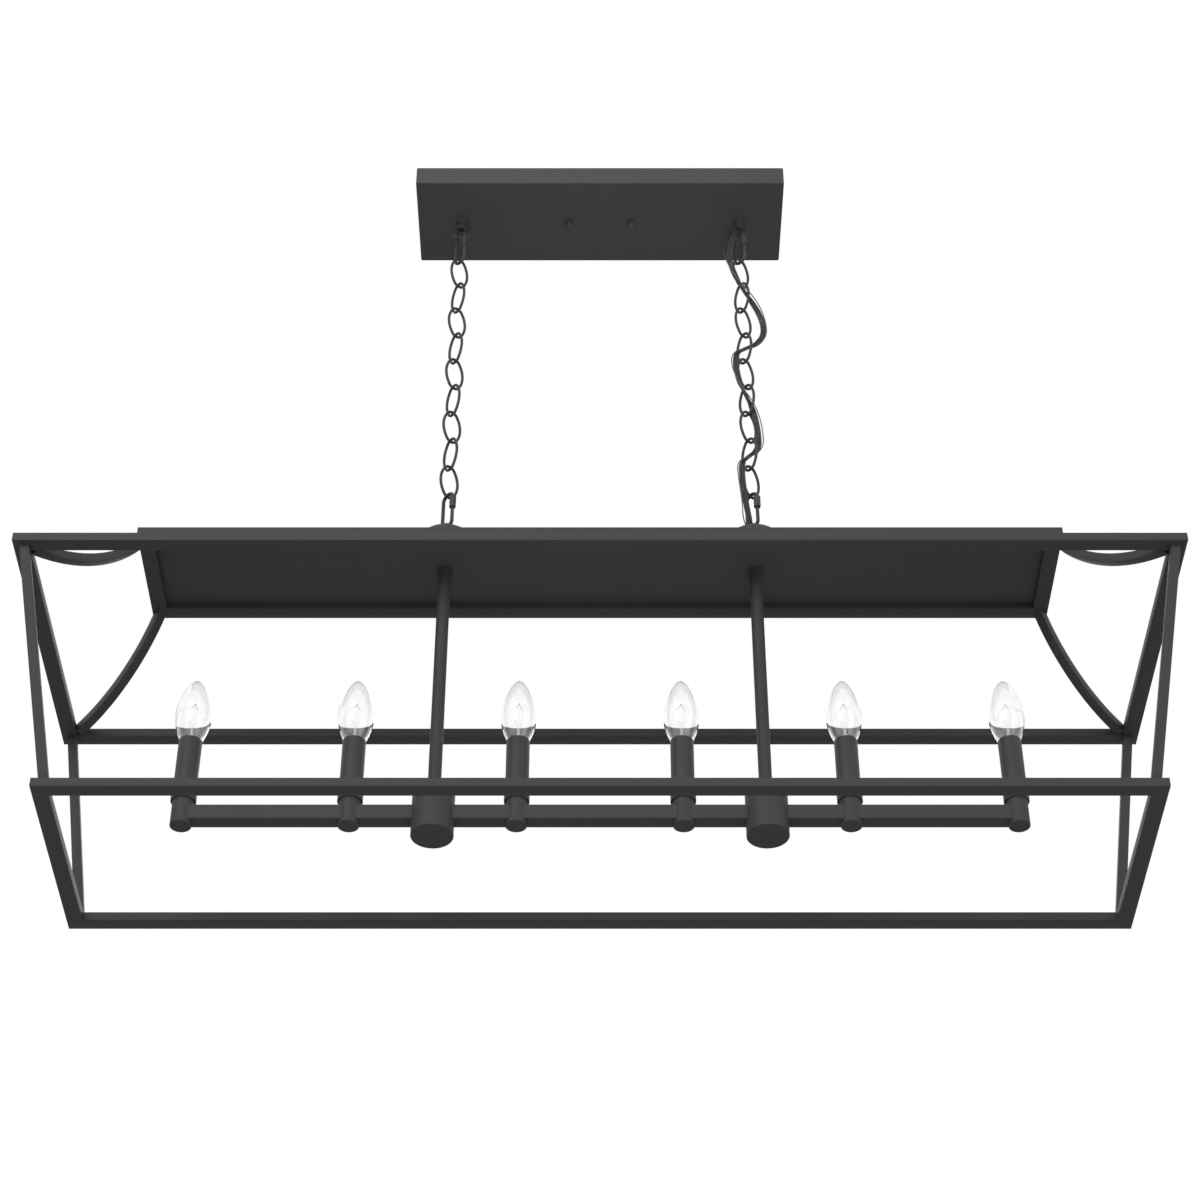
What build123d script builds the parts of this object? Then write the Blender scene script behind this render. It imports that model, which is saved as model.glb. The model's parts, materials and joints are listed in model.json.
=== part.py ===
from build123d import *
import os
from math import asin, atan2, cos, degrees, hypot, pi, radians, sin, tan

os.makedirs("parts", exist_ok=True)

# Linear island pendant. Z is up and the origin is the middle of the canopy, in the ceiling's plane,
# so the whole light hangs below zero. X runs along the light and the photograph looks along +Y.
# All sizes are in millimetres.

# --- Driving dimensions -------------------------------------------------------------------------

# Fits
running_gap = 0.1       # radial gap round a piece that slides or passes through
hanging_gap = 0.3       # gap between two wires that hang square to each other
slanting_gap = 1.1      # upright gap where two wires cross at a slant, so that they clear when swung
edge_round = 0.6        # rounding along the edges of bars and rails

# Canopy, a folded pan that covers the outlet box
canopy_length = 409.0
canopy_width = 117.0
canopy_height = 25.2
canopy_wall = 1.2
canopy_corner = 2.0
canopy_fold = 1.0       # outer radius of the fold at the bottom
hang_offset = 155.8     # from the middle of the light to each chain and each stem

# Crossbar in the canopy, with studs for the cap nuts and slots for the outlet box
crossbar_length = 108.0
crossbar_width = 18.0
crossbar_thickness = 2.0
crossbar_corner = 3.0
stud_offset = 34.925
stud_diameter = 4.0
stud_reach = 5.0        # how far a stud stands out under the canopy
stud_collar_flats = 8.0
stud_collar_height = 3.0
slot_offset = 44.45
slot_width = 4.8
slot_length = 11.0
ground_screw_offset = 12.0
ground_screw_diameter = 4.0
ground_head_flats = 8.0
ground_head_height = 2.4

# Cap nuts under the canopy
cap_nut_diameter = 10.0
cap_nut_skirt = 3.0
cap_nut_height = 8.5
cap_nut_crown = 4.5     # radius of the domed part
cap_nut_tip = 0.5       # radius of the flat at its tip
cap_nut_depth = 6.0

# Loops: a ring on a hollow screw collar
loop_wire = 3.3
loop_radius = 8.65      # of the ring's centre line
ring_above_collar = 3.65
collar_diameter = 12.4
collar_lip_diameter = 14.0
collar_lip = 1.6
canopy_collar_height = 12.7
fixture_collar_height = 7.5
shank_diameter = 9.5
shank_length = 11.0
wire_bore = 6.4
lock_nut_flats = 14.0
lock_nut_height = 4.0

# Wire connectors, lying on the floor of the canopy
connector_diameter = 10.0
connector_tip = 6.0
connector_length = 19.0
connector_skirt = 6.0
connector_spacing = 16.0
connector_offset = 118.0

# Threaded quick links
quick_rod = 3.8
quick_length = 45.4     # between the rod's centres at the two ends
quick_width = 14.2      # between the legs' centres
quick_angle = -45.0     # turned about Z from the light's length
quick_gap = 8.0         # opening in the right leg
quick_gap_start = 3.2   # below the top of the straight leg
sleeve_flats = 6.2
sleeve_length = 14.4
sleeve_chamfer = 0.5

# Chains
link_wire = 3.0
link_width = 21.6       # between centre lines
link_length = 42.4
link_end_radius = 6.6
link_count = 9
link_angle = 40.0
link_quarter_turn = 90.0

# Supply cord, the bare ground wire beside it, and their routes
cord_diameter = 4.6
ground_diameter = 1.2
arc_share = 0.45        # share of the shorter run that an arc takes

# Splice cups on the tray
cup_radius = 30.0
cup_height = 41.0
cup_wall = 1.2
cup_round = 10.0
coupling_diameter = 16.5
coupling_overlap = 4.5  # of the coupling over the loop's shank

# Bars of the tray and of both rings
bar_width = 15.2
bar_height = 9.4
bar_wall = 1.2

# Tray
tray_length = 911.0
tray_width = 130.2
panel_thickness = 1.5

# Upper and lower ring, and what joins them
upper_length = 1100.0
upper_width = 319.2
lower_length = 1013.0
lower_width = 232.1
arm_rise = 80.7         # from the upper ring's top to the tray's underside
arm_side = 9.3
arm_radius = 165.0
arm_extra = 3.0         # degrees that the arm runs on at each end before it is trimmed
post_side = 9.4
post_inset = 5.8        # from the rings' outer faces to the post
post_height = 242.3     # from the lower ring's top to the upper ring's underside

# Stems, hubs and light bar
stem_diameter = 12.7
stem_bore = 9.6
stem_above_panel = 9.0
jam_nut_flats = 17.0
jam_nut_height = 4.0
washer_diameter = 16.5
washer_height = 2.4
light_bar_side = 15.6
light_bar_drop = 292.2  # from the tray's underside to the bar's centre line
hub_diameter = 40.3
hub_height = 46.5
hub_chamfer = 0.8
hub_seat = 10.0         # how deep the stem sits in the hub

# Candle holders
candle_count = 6
candle_spacing = 156.0
holder_diameter = 20.4
holder_below_bar = 4.0
holder_above_bar = 7.6
holder_chamfer = 0.6
holder_seat = 6.0       # how deep a socket's neck sits in the post
drip_cup_diameter = 24.2
drip_cup_height = 8.0
drip_cup_floor = 2.0
sleeve_diameter = 22.4
sleeve_wall = 1.0
candle_height = 68.8
socket_diameter = 19.6
socket_length = 46.0
socket_neck_diameter = 10.0

# Bulbs: pointed candle shape on a small screw base
bulb_length = 73.7      # glass above the sleeve's top
bulb_radius = 17.6
bulb_widest = 30.0      # height of the widest place above the sleeve's top
bulb_rim_radius = 10.0  # at the sleeve's top
bulb_neck_radius = 7.6
bulb_neck_drop = 5.0    # from the sleeve's top down to the glass's lower end
bulb_shoulder = 50.4    # height of the shoulder above the sleeve's top
bulb_shoulder_radius = 14.2
bulb_tip_radius = 2.2
bulb_tip_drop = 1.6     # from the tip down to where it is bulb_tip_radius wide
bulb_wall = 0.8
base_diameter = 12.0
base_length = 17.0
base_collar_height = 2.0
contact_diameter = 6.0
contact_length = 2.5

# --- Heights, from the ceiling down ---------------------------------------------------------------

canopy_bottom = -canopy_height
canopy_floor = canopy_bottom + canopy_wall
canopy_ring_centre = canopy_bottom - canopy_collar_height - ring_above_collar
canopy_ring_wire = canopy_ring_centre - loop_radius
rod_over_ring = (loop_wire + quick_rod) / 2 + slanting_gap
rod_over_link = (quick_rod + link_wire) / 2 + hanging_gap
quick_top = canopy_ring_wire + rod_over_ring
quick_bottom = quick_top - quick_length
link_pitch = link_length - link_wire - hanging_gap
first_link_centre = quick_bottom + rod_over_link - link_length / 2
last_link_bottom = first_link_centre - (link_count - 1) * link_pitch - link_length / 2
lower_quick_top = last_link_bottom + rod_over_link
lower_quick_bottom = lower_quick_top - quick_length
fixture_ring_wire = lower_quick_bottom + rod_over_ring
fixture_ring_centre = fixture_ring_wire - loop_radius
cup_top = fixture_ring_centre - ring_above_collar - fixture_collar_height
cup_ceiling = cup_top - cup_wall
tray_top = cup_top - cup_height
stem_top = tray_top + stem_above_panel
coupling_bottom = tray_top + jam_nut_height + hanging_gap
coupling_top = cup_top - shank_length + coupling_overlap
tray_bottom = tray_top - bar_height
panel_bottom = tray_top - panel_thickness
upper_top = tray_bottom - arm_rise
upper_bottom = upper_top - bar_height
lower_top = upper_bottom - post_height
lower_bottom = lower_top - bar_height
light_bar_centre = tray_bottom - light_bar_drop
light_bar_top = light_bar_centre + light_bar_side / 2
light_bar_bottom = light_bar_centre - light_bar_side / 2
hub_top = light_bar_centre + hub_height / 2
hub_bottom = light_bar_centre - hub_height / 2
stem_bottom = hub_top - hub_seat
holder_top = light_bar_top + holder_above_bar
holder_bottom = light_bar_bottom - holder_below_bar
sleeve_bottom = holder_top + drip_cup_floor
sleeve_top = sleeve_bottom + candle_height
bulb_neck = sleeve_top - bulb_neck_drop
base_bottom = bulb_neck - base_collar_height - base_length
socket_top = bulb_neck - base_collar_height - hanging_gap
socket_bottom = socket_top - socket_length

sides = {"left": -1, "right": 1}
candle_places = [(i - (candle_count - 1) / 2) * candle_spacing for i in range(candle_count)]

# The cord's route: out of the canopy's right loop, woven through every second link of the right
# chain and into the loop on the right splice cup. Each point is the distance to the right of the
# chain, the distance behind it, and the height.
cord_route = [
    (0.0, -0.6, -13.0),
    (0.1, -0.7, -22.0),
    (0.0, -0.5, -30.0),
    (0.0, -0.6, -36.6),
    (-0.3, -1.1, -40.2),
    (-1.7, -3.6, -43.2),
    (-3.6, -6.8, -47.8),
    (-6.2, -9.2, -57.0),
    (-10.4, -11.8, -73.0),
    (-12.6, -13.2, -90.0),
    (-11.8, -13.4, -107.0),
    (-7.4, -12.0, -124.0),
    (1.0, -6.0, -141.5),
    (11.4, -0.8, -157.0),
    (19.0, 0.4, -175.0),
    (22.4, 1.2, -194.0),
    (20.4, 0.8, -208.6),
    (13.0, 0.0, -219.6),
    (1.6, -1.0, -227.6),
    (-7.4, -4.2, -236.0),
    (-10.6, -8.6, -249.0),
    (-10.6, -11.4, -267.0),
    (-8.0, -11.0, -286.0),
    (-1.8, -6.0, -302.0),
    (5.8, -0.8, -318.0),
    (8.8, 0.0, -336.0),
    (10.4, 0.8, -355.0),
    (10.2, 0.8, -370.0),
    (5.2, 0.2, -379.6),
    (-2.6, -1.4, -388.0),
    (-7.8, -5.4, -398.0),
    (-9.6, -11.4, -412.0),
    (-9.2, -11.8, -431.0),
    (-8.0, -11.4, -449.0),
    (-6.2, -10.6, -465.0),
    (-4.6, -8.8, -476.0),
    (-3.2, -6.6, -482.2),
    (-1.7, -3.5, -486.6),
    (-0.3, -1.0, -489.6),
    (0.0, -0.6, -493.8),
    (0.1, -0.7, -501.6),
    (0.0, -0.5, -511.5),
]

# The ground wire keeps beside the cord and swings out further in its bends.
ground_route = [
    (-0.9, 2.3, -13.0),
    (-0.8, 2.4, -22.0),
    (-1.0, 2.3, -30.0),
    (-0.9, 2.4, -36.8),
    (-2.4, 1.5, -40.4),
    (-5.4, -1.6, -43.2),
    (-9.4, -5.0, -48.6),
    (-14.0, -9.0, -58.0),
    (-18.4, -12.6, -73.0),
    (-19.4, -15.4, -90.0),
    (-16.4, -17.0, -107.0),
    (-10.4, -17.2, -124.0),
    (-0.6, -14.8, -141.0),
    (11.4, -12.0, -157.0),
    (20.8, -7.4, -175.0),
    (25.0, -3.6, -194.0),
    (24.4, -2.4, -210.0),
    (15.4, -1.6, -223.6),
    (2.4, -4.4, -231.6),
    (-9.0, -8.6, -237.0),
    (-15.4, -11.6, -250.0),
    (-15.2, -14.0, -267.0),
    (-10.8, -15.2, -286.0),
    (-3.0, -13.6, -302.0),
    (6.0, -12.2, -318.0),
    (12.4, -7.4, -336.0),
    (15.0, -3.8, -355.0),
    (15.2, -2.2, -371.0),
    (8.0, -3.0, -384.0),
    (-2.4, -6.0, -391.0),
    (-11.0, -8.6, -398.0),
    (-14.2, -13.0, -411.0),
    (-13.4, -14.8, -430.0),
    (-11.8, -15.0, -449.0),
    (-10.6, -13.6, -465.0),
    (-10.6, -10.2, -475.0),
    (-8.8, -5.6, -482.0),
    (-5.4, -1.6, -486.6),
    (-2.4, 1.5, -489.4),
    (-0.9, 2.4, -493.0),
    (-0.8, 2.3, -501.0),
    (-1.0, 2.4, -511.5),
]


# --- Shared shapes --------------------------------------------------------------------------------


def save(piece, label):
    """Labels a finished piece and writes it out under the same name."""
    piece.part.label = label
    export_step(piece.part, f"parts/{label}.step")


def upright(x, y, z, angle=0.0):
    """A vertical plane whose own x axis is turned by angle about Z and whose own y axis is up."""
    across = Vector(1, 0, 0).rotate(Axis.Z, angle)
    return Plane(origin=(x, y, z), x_dir=across, z_dir=across.cross(Vector(0, 0, 1)))


def both_sides(distance, z):
    """Locations at the same distance to the left and right of the middle, at one height."""
    return Locations(*[(side * distance, 0, z) for side in sides.values()])


def oval_path(plane, width, length, end_radius):
    """A closed oval about the plane's origin: two end arcs joined by two flatter side arcs."""
    half_width = width / 2
    end_centre = length / 2 - end_radius
    side_radius = (half_width**2 + end_centre**2 - end_radius**2) / (half_width - end_radius) / 2
    side_centre = side_radius - half_width
    turn = degrees(atan2(end_centre, side_centre))
    with BuildLine(plane) as oval:
        CenterArc((-side_centre, 0), side_radius, -turn, 2 * turn)
        CenterArc((0, end_centre), end_radius, turn, 180 - 2 * turn)
        CenterArc((side_centre, 0), side_radius, 180 - turn, 2 * turn)
        CenterArc((0, -end_centre), end_radius, 180 + turn, 180 - 2 * turn)
    return oval.wire()


def cord_path(points):
    """Straight runs joined by arcs, each arc as large as its two runs allow. Prints the radii."""
    radii = []
    for before, here, after in zip(points, points[1:], points[2:]):
        inward = Vector(*here) - Vector(*before)
        outward = Vector(*after) - Vector(*here)
        turn = radians(inward.get_angle(outward))
        radii.append(arc_share * min(inward.length, outward.length) / tan(turn / 2))
    with BuildLine() as route:
        FilletPolyline(*points, radius=radii)
    print("radii", [round(radius, 1) for radius in radii])
    return route.wire()


def save_cord(points, diameter, label):
    """A round tube along a route beside the right chain, its volume set against section x length."""
    path = cord_path([(hang_offset + right, behind, z) for right, behind, z in points])
    with BuildPart() as cord:
        with BuildSketch(Plane(origin=path @ 0, z_dir=path % 0)):
            Circle(diameter / 2)
        sweep(path=path)
    section = pi / 4 * diameter**2
    print(label, "length", round(path.length, 1), "volume", round(cord.part.volume), end=" ")
    print("against section times length", round(section * path.length))
    save(cord, label)


def mitred(length, depth, edge):
    """Corners, in plan, of a bar mitred at both ends, whose long side lies at y = -edge."""
    outer = [(-length / 2, -edge), (length / 2, -edge)]
    return outer + [(length / 2 - depth, depth - edge), (depth - length / 2, depth - edge)]


def save_bar_pair(label, length, edge, bottom, turns):
    """Two hollow mitred bars on opposite sides of a rectangle, length long, edge from its middle."""
    hollow = bar_width - 2 * bar_wall
    with BuildPart() as bars:
        for turn in turns:
            with BuildSketch(Plane.XY.offset(bottom).rotated((0, 0, turn))):
                Polygon(*mitred(length, bar_width, edge), align=None)
            extrude(amount=bar_height)
        along = Axis.X.direction.rotate(Axis.Z, turns[0])
        fillet(bars.edges().filter_by(Axis((0, 0, 0), along)), edge_round)
        for turn in turns:
            with BuildSketch(Plane.XY.offset(bottom + bar_wall).rotated((0, 0, turn))):
                Polygon(*mitred(length - 2 * bar_wall, hollow, edge - bar_wall), align=None)
            extrude(amount=bar_height - 2 * bar_wall, mode=Mode.SUBTRACT)
    save(bars, label)


def save_frame(long_label, end_label, length, width, bottom):
    """A rectangle of four hollow mitred bars: the long pair along X and the end pair along Y."""
    save_bar_pair(long_label, length, width / 2, bottom, (0, 180))
    save_bar_pair(end_label, width, length / 2, bottom, (90, 270))


def save_loop(label, x, ring_centre, collar_end, collar_height, way):
    """A ring on a hollow screw collar. The shank points up (way 1) or down (way -1)."""
    face = ring_centre + way * ring_above_collar
    with BuildPart() as loop:
        with BuildSketch(Plane((x, 0, face), z_dir=(0, 0, way))):
            Circle(collar_diameter / 2)
        extrude(amount=collar_height)
        with BuildSketch(Plane((x, 0, collar_end), z_dir=(0, 0, -way))):
            Circle(collar_lip_diameter / 2)
        extrude(amount=collar_lip)
        with BuildSketch(Plane((x, 0, collar_end), z_dir=(0, 0, way))):
            Circle(shank_diameter / 2)
        extrude(amount=shank_length)
        with BuildSketch(Plane((x + loop_radius, 0, ring_centre))):
            Circle(loop_wire / 2)
        revolve(axis=Axis((x, 0, ring_centre), (0, 1, 0)))
        with BuildSketch(Plane((x, 0, face), z_dir=(0, 0, way))):
            Circle(wire_bore / 2)
        extrude(amount=collar_height + shank_length, mode=Mode.SUBTRACT)
    save(loop, label)


def save_nuts(label, flats, height, bottom, bore):
    """One hexagon nut on each side of the middle."""
    with BuildPart() as nuts:
        for side in sides.values():
            with BuildSketch(Plane((side * hang_offset, 0, bottom))):
                RegularPolygon(flats / 2, 6, major_radius=False)
                Circle(bore / 2 + running_gap, mode=Mode.SUBTRACT)
            extrude(amount=height)
    save(nuts, label)


# --- Canopy ---------------------------------------------------------------------------------------

with BuildPart() as canopy_pan:
    with BuildSketch(Plane.XY.offset(canopy_bottom)):
        RectangleRounded(canopy_length, canopy_width, canopy_corner)
    extrude(amount=canopy_height)
    fillet(canopy_pan.faces().sort_by(Axis.Z)[0].edges(), canopy_fold)
    with BuildSketch(Plane.XY.offset(canopy_floor)):
        Rectangle(canopy_length - 2 * canopy_wall, canopy_width - 2 * canopy_wall)
    extrude(amount=canopy_height, mode=Mode.SUBTRACT)
    with both_sides(hang_offset, canopy_floor):
        Hole(shank_diameter / 2 + running_gap)
    with both_sides(stud_offset, canopy_floor):
        Hole(stud_diameter / 2 + running_gap)
save(canopy_pan, "canopy_pan")

with BuildPart() as mounting_strap:
    with BuildSketch(Plane.XY.offset(-crossbar_thickness)):
        RectangleRounded(crossbar_length, crossbar_width, crossbar_corner)
        with both_sides(slot_offset, 0):
            SlotOverall(slot_length, slot_width, mode=Mode.SUBTRACT)
        with both_sides(stud_offset, 0):
            Circle(stud_diameter / 2 + running_gap, mode=Mode.SUBTRACT)
        with Locations((ground_screw_offset, 0)):
            Circle(ground_screw_diameter / 2 + running_gap, mode=Mode.SUBTRACT)
    extrude(amount=crossbar_thickness)
save(mounting_strap, "mounting_strap")

with BuildPart() as strap_studs:
    for side in sides.values():
        with BuildSketch(Plane((side * stud_offset, 0, canopy_bottom - stud_reach))):
            Circle(stud_diameter / 2)
        extrude(amount=canopy_height + stud_reach)
        with BuildSketch(Plane((side * stud_offset, 0, -crossbar_thickness - stud_collar_height))):
            RegularPolygon(stud_collar_flats / 2, 6, major_radius=False)
        extrude(amount=stud_collar_height)
save(strap_studs, "strap_studs")

with BuildPart() as ground_screw:
    with BuildSketch(Plane((ground_screw_offset, 0, -crossbar_thickness))):
        Circle(ground_screw_diameter / 2)
    extrude(amount=crossbar_thickness)
    with BuildSketch(Plane((ground_screw_offset, 0, -crossbar_thickness), z_dir=(0, 0, -1))):
        RegularPolygon(ground_head_flats / 2, 6, major_radius=False)
    extrude(amount=ground_head_height)
save(ground_screw, "ground_screw")

for name, side in sides.items():
    with BuildPart() as cap_nut:
        with BuildSketch(Plane((side * stud_offset, 0, canopy_bottom), z_dir=(0, 0, -1))):
            Circle(cap_nut_diameter / 2)
        extrude(amount=cap_nut_skirt)
        with BuildSketch(Plane((side * stud_offset, 0, canopy_bottom), z_dir=(0, 0, -1))):
            Circle(cap_nut_crown)
        extrude(amount=cap_nut_height)
        fillet(cap_nut.faces().sort_by(Axis.Z)[0].edges(), cap_nut_crown - cap_nut_tip)
        with BuildSketch(Plane((side * stud_offset, 0, canopy_bottom), z_dir=(0, 0, -1))):
            Circle(stud_diameter / 2 + running_gap)
        extrude(amount=cap_nut_depth, mode=Mode.SUBTRACT)
    save(cap_nut, f"cap_nut_{name}")

for name, side in sides.items():
    save_loop(
        f"canopy_loop_{name}", side * hang_offset, canopy_ring_centre, canopy_bottom,
        canopy_collar_height, 1,
    )

save_nuts("canopy_lock_nuts", lock_nut_flats, lock_nut_height, canopy_floor, shank_diameter)

with BuildPart() as wire_connectors:
    for place in (-1, 0, 1):
        lying = Plane(
            (connector_offset, place * connector_spacing, canopy_floor + connector_diameter / 2),
            z_dir=(-1, 0, 0),
        )
        with BuildSketch(lying):
            Circle(connector_diameter / 2)
        extrude(amount=connector_skirt)
        with BuildSketch(lying.offset(connector_skirt)):
            Circle(connector_diameter / 2)
        with BuildSketch(lying.offset(connector_length)):
            Circle(connector_tip / 2)
        loft()
        with BuildSketch(lying):
            Circle(connector_tip / 2)
        extrude(amount=connector_skirt, mode=Mode.SUBTRACT)
save(wire_connectors, "wire_connectors")

# --- Quick links, chains and cord -------------------------------------------------------------------


def save_quick_link(label, sleeve_label, x, top):
    """A bent rod, open in its right leg, and the screw sleeve that closes the opening."""
    bend = quick_width / 2
    leg_top = top - bend
    leg_bottom = top - quick_length + bend
    gap_top = leg_top - quick_gap_start
    gap_bottom = gap_top - quick_gap
    with BuildLine(upright(x, 0, 0, quick_angle)) as bent:
        Line((bend, gap_bottom), (bend, leg_bottom))
        CenterArc((0, leg_bottom), bend, 0, -180)
        Line((-bend, leg_bottom), (-bend, leg_top))
        CenterArc((0, leg_top), bend, 180, -180)
        Line((bend, leg_top), (bend, gap_top))
    path = bent.wire()
    with BuildPart() as rod:
        with BuildSketch(Plane(origin=path @ 0, z_dir=path % 0)):
            Circle(quick_rod / 2)
        sweep(path=path)
    save(rod, label)
    leg = upright(x, 0, leg_top, quick_angle).from_local_coords((bend, 0, 0))
    with BuildPart() as sleeve:
        with BuildSketch(Plane(leg, z_dir=(0, 0, -1))):
            RegularPolygon(sleeve_flats / 2, 6, major_radius=False)
        extrude(amount=sleeve_length)
        chamfer(sleeve.edges().group_by(Axis.Z)[0] + sleeve.edges().group_by(Axis.Z)[-1], sleeve_chamfer)
        with BuildSketch(Plane(leg, z_dir=(0, 0, -1))):
            Circle(quick_rod / 2 + running_gap)
        extrude(amount=sleeve_length, mode=Mode.SUBTRACT)
    save(sleeve, sleeve_label)


for name, side in sides.items():
    for level, top in (("top", quick_top), ("bottom", lower_quick_top)):
        place = f"{level}_{name}"
        save_quick_link(f"quick_link_{place}", f"quick_link_sleeve_{place}", side * hang_offset, top)

link_route = oval_path(Plane.XZ, link_width, link_length, link_end_radius)
with BuildPart() as link:
    with BuildSketch(Plane(origin=link_route @ 0, z_dir=link_route % 0)):
        Circle(link_wire / 2)
    sweep(path=link_route)

for name, side in sides.items():
    with BuildPart() as chain:
        for i in range(link_count):
            height = first_link_centre - i * link_pitch
            turned = link_angle - (i % 2) * link_quarter_turn
            with Locations(Location((side * hang_offset, 0, height), (0, 0, turned))):
                add(link.part)
    save(chain, f"chain_{name}")

save_cord(cord_route, cord_diameter, "supply_cord")
save_cord(ground_route, ground_diameter, "ground_wire")

# --- Splice cups and tray -----------------------------------------------------------------------------

for name, side in sides.items():
    with BuildPart() as splice_cup:
        with BuildSketch(Plane((side * hang_offset, 0, tray_top))):
            Circle(cup_radius)
        extrude(amount=cup_height)
        fillet(splice_cup.faces().sort_by(Axis.Z)[-1].edges(), cup_round)
        offset(amount=-cup_wall, openings=splice_cup.faces().sort_by(Axis.Z)[0])
        with Locations((side * hang_offset, 0, cup_top)):
            Hole(shank_diameter / 2 + running_gap)
    save(splice_cup, f"splice_cup_{name}")
    save_loop(
        f"fixture_loop_{name}", side * hang_offset, fixture_ring_centre, cup_top,
        fixture_collar_height, -1,
    )

save_nuts("cup_lock_nuts", lock_nut_flats, lock_nut_height, cup_ceiling - lock_nut_height, shank_diameter)
save_nuts("jam_nuts", jam_nut_flats, jam_nut_height, tray_top, stem_diameter)

with BuildPart() as cup_couplings:
    for side in sides.values():
        with BuildSketch(Plane((side * hang_offset, 0, coupling_bottom))):
            Circle(coupling_diameter / 2)
            Circle(stem_diameter / 2 + running_gap, mode=Mode.SUBTRACT)
        extrude(amount=stem_top - coupling_bottom)
        with BuildSketch(Plane((side * hang_offset, 0, stem_top))):
            Circle(coupling_diameter / 2)
            Circle(shank_diameter / 2 + running_gap, mode=Mode.SUBTRACT)
        extrude(amount=coupling_top - stem_top)
save(cup_couplings, "cup_couplings")

with BuildPart() as stem_washers:
    for side in sides.values():
        with BuildSketch(Plane((side * hang_offset, 0, panel_bottom), z_dir=(0, 0, -1))):
            Circle(washer_diameter / 2)
            Circle(stem_diameter / 2 + running_gap, mode=Mode.SUBTRACT)
        extrude(amount=washer_height)
save(stem_washers, "stem_washers")

save_frame("tray_long_rails", "tray_end_rails", tray_length, tray_width, tray_bottom)

with BuildPart() as tray_panel:
    with BuildSketch(Plane.XY.offset(panel_bottom)):
        Rectangle(tray_length - 2 * bar_width, tray_width - 2 * bar_width)
        with both_sides(hang_offset, 0):
            Circle(stem_diameter / 2 + running_gap, mode=Mode.SUBTRACT)
    extrude(amount=panel_thickness)
save(tray_panel, "tray_panel")

# --- Lantern frame -------------------------------------------------------------------------------------

save_frame("upper_ring_long_bars", "upper_ring_end_bars", upper_length, upper_width, upper_bottom)
save_frame("lower_ring_long_bars", "lower_ring_end_bars", lower_length, lower_width, lower_bottom)

# A roof arm is an arc in the upright plane from the upper ring's inner corner to the middle of the
# tray's corner. It runs on past both and is trimmed where it meets them.
arm_foot = Vector(upper_length / 2 - bar_width, upper_width / 2 - bar_width, upper_bottom + bar_height / 2)
arm_head = Vector(tray_length / 2 - bar_width / 2, tray_width / 2 - bar_width / 2, tray_bottom)
arm_run = hypot(arm_head.X - arm_foot.X, arm_head.Y - arm_foot.Y)
arm_lift = arm_head.Z - arm_foot.Z
arm_slope = degrees(atan2(arm_lift, arm_run))
arm_half_turn = degrees(asin(hypot(arm_run, arm_lift) / 2 / arm_radius))
arm_heading = degrees(atan2(arm_head.Y - arm_foot.Y, arm_head.X - arm_foot.X))
arm_foot_angle = arm_slope - arm_half_turn
arm_centre = (-arm_radius * sin(radians(arm_foot_angle)), arm_radius * cos(radians(arm_foot_angle)))
arm_plane = upright(arm_foot.X, arm_foot.Y, arm_foot.Z, arm_heading)
with BuildLine(arm_plane) as arm_line:
    CenterArc(
        arm_centre, arm_radius, arm_foot_angle - 90 - arm_extra, 2 * (arm_half_turn + arm_extra)
    )
arm_path = arm_line.wire()
with BuildPart() as roof_arms:
    with BuildSketch(Plane(origin=arm_path @ 0, x_dir=arm_plane.z_dir, z_dir=arm_path % 0)):
        Rectangle(arm_side, arm_side)
    sweep(path=arm_path)
    with BuildSketch(Plane.XY.offset(upper_bottom)):
        Rectangle(2 * arm_foot.X, 2 * arm_foot.Y)
    extrude(amount=tray_bottom - upper_bottom, mode=Mode.INTERSECT)
    mirror(about=Plane.XZ)
    mirror(about=Plane.YZ)
save(roof_arms, "roof_arms")

post_centre = post_inset + post_side / 2
with BuildPart() as corner_posts:
    for length, width, height in (
        (lower_length, lower_width, lower_top),
        (upper_length, upper_width, upper_bottom),
    ):
        with BuildSketch(Plane((length / 2 - post_centre, width / 2 - post_centre, height))):
            Rectangle(post_side, post_side)
    loft()
    mirror(about=Plane.XZ)
    mirror(about=Plane.YZ)
save(corner_posts, "corner_posts")

# --- Stems, hubs and light bar --------------------------------------------------------------------------

bar_reach = candle_places[-1] + light_bar_side / 2
with BuildPart() as light_bar:
    with BuildSketch(Plane.YZ.offset(-bar_reach)):
        with Locations((0, light_bar_centre)):
            Rectangle(light_bar_side, light_bar_side)
    extrude(amount=2 * bar_reach)
    fillet(light_bar.edges().filter_by(Axis.X), edge_round)
bar_envelope = light_bar.part
with BuildPart() as hollow_bar:
    add(bar_envelope)
    with BuildSketch(Plane.YZ.offset(bar_wall - bar_reach)):
        with Locations((0, light_bar_centre)):
            Rectangle(light_bar_side - 2 * bar_wall, light_bar_side - 2 * bar_wall)
    extrude(amount=2 * (bar_reach - bar_wall), mode=Mode.SUBTRACT)
save(hollow_bar, "light_bar")

for name, side in sides.items():
    with BuildPart() as stem:
        with BuildSketch(Plane((side * hang_offset, 0, stem_bottom))):
            Circle(stem_diameter / 2)
            Circle(stem_bore / 2, mode=Mode.SUBTRACT)
        extrude(amount=stem_top - stem_bottom)
    save(stem, f"stem_{name}")
    with BuildPart() as hub:
        with BuildSketch(Plane((side * hang_offset, 0, hub_bottom))):
            Circle(hub_diameter / 2)
        extrude(amount=hub_height)
        chamfer(hub.edges(), hub_chamfer)
        with Locations((side * hang_offset, 0, hub_top)):
            Hole(stem_diameter / 2 + running_gap, hub_seat)
            Hole(wire_bore / 2, hub_top - light_bar_centre)
        add(bar_envelope, mode=Mode.SUBTRACT)
    save(hub, f"hub_{name}")

# --- Candle holders and bulbs ---------------------------------------------------------------------------

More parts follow.
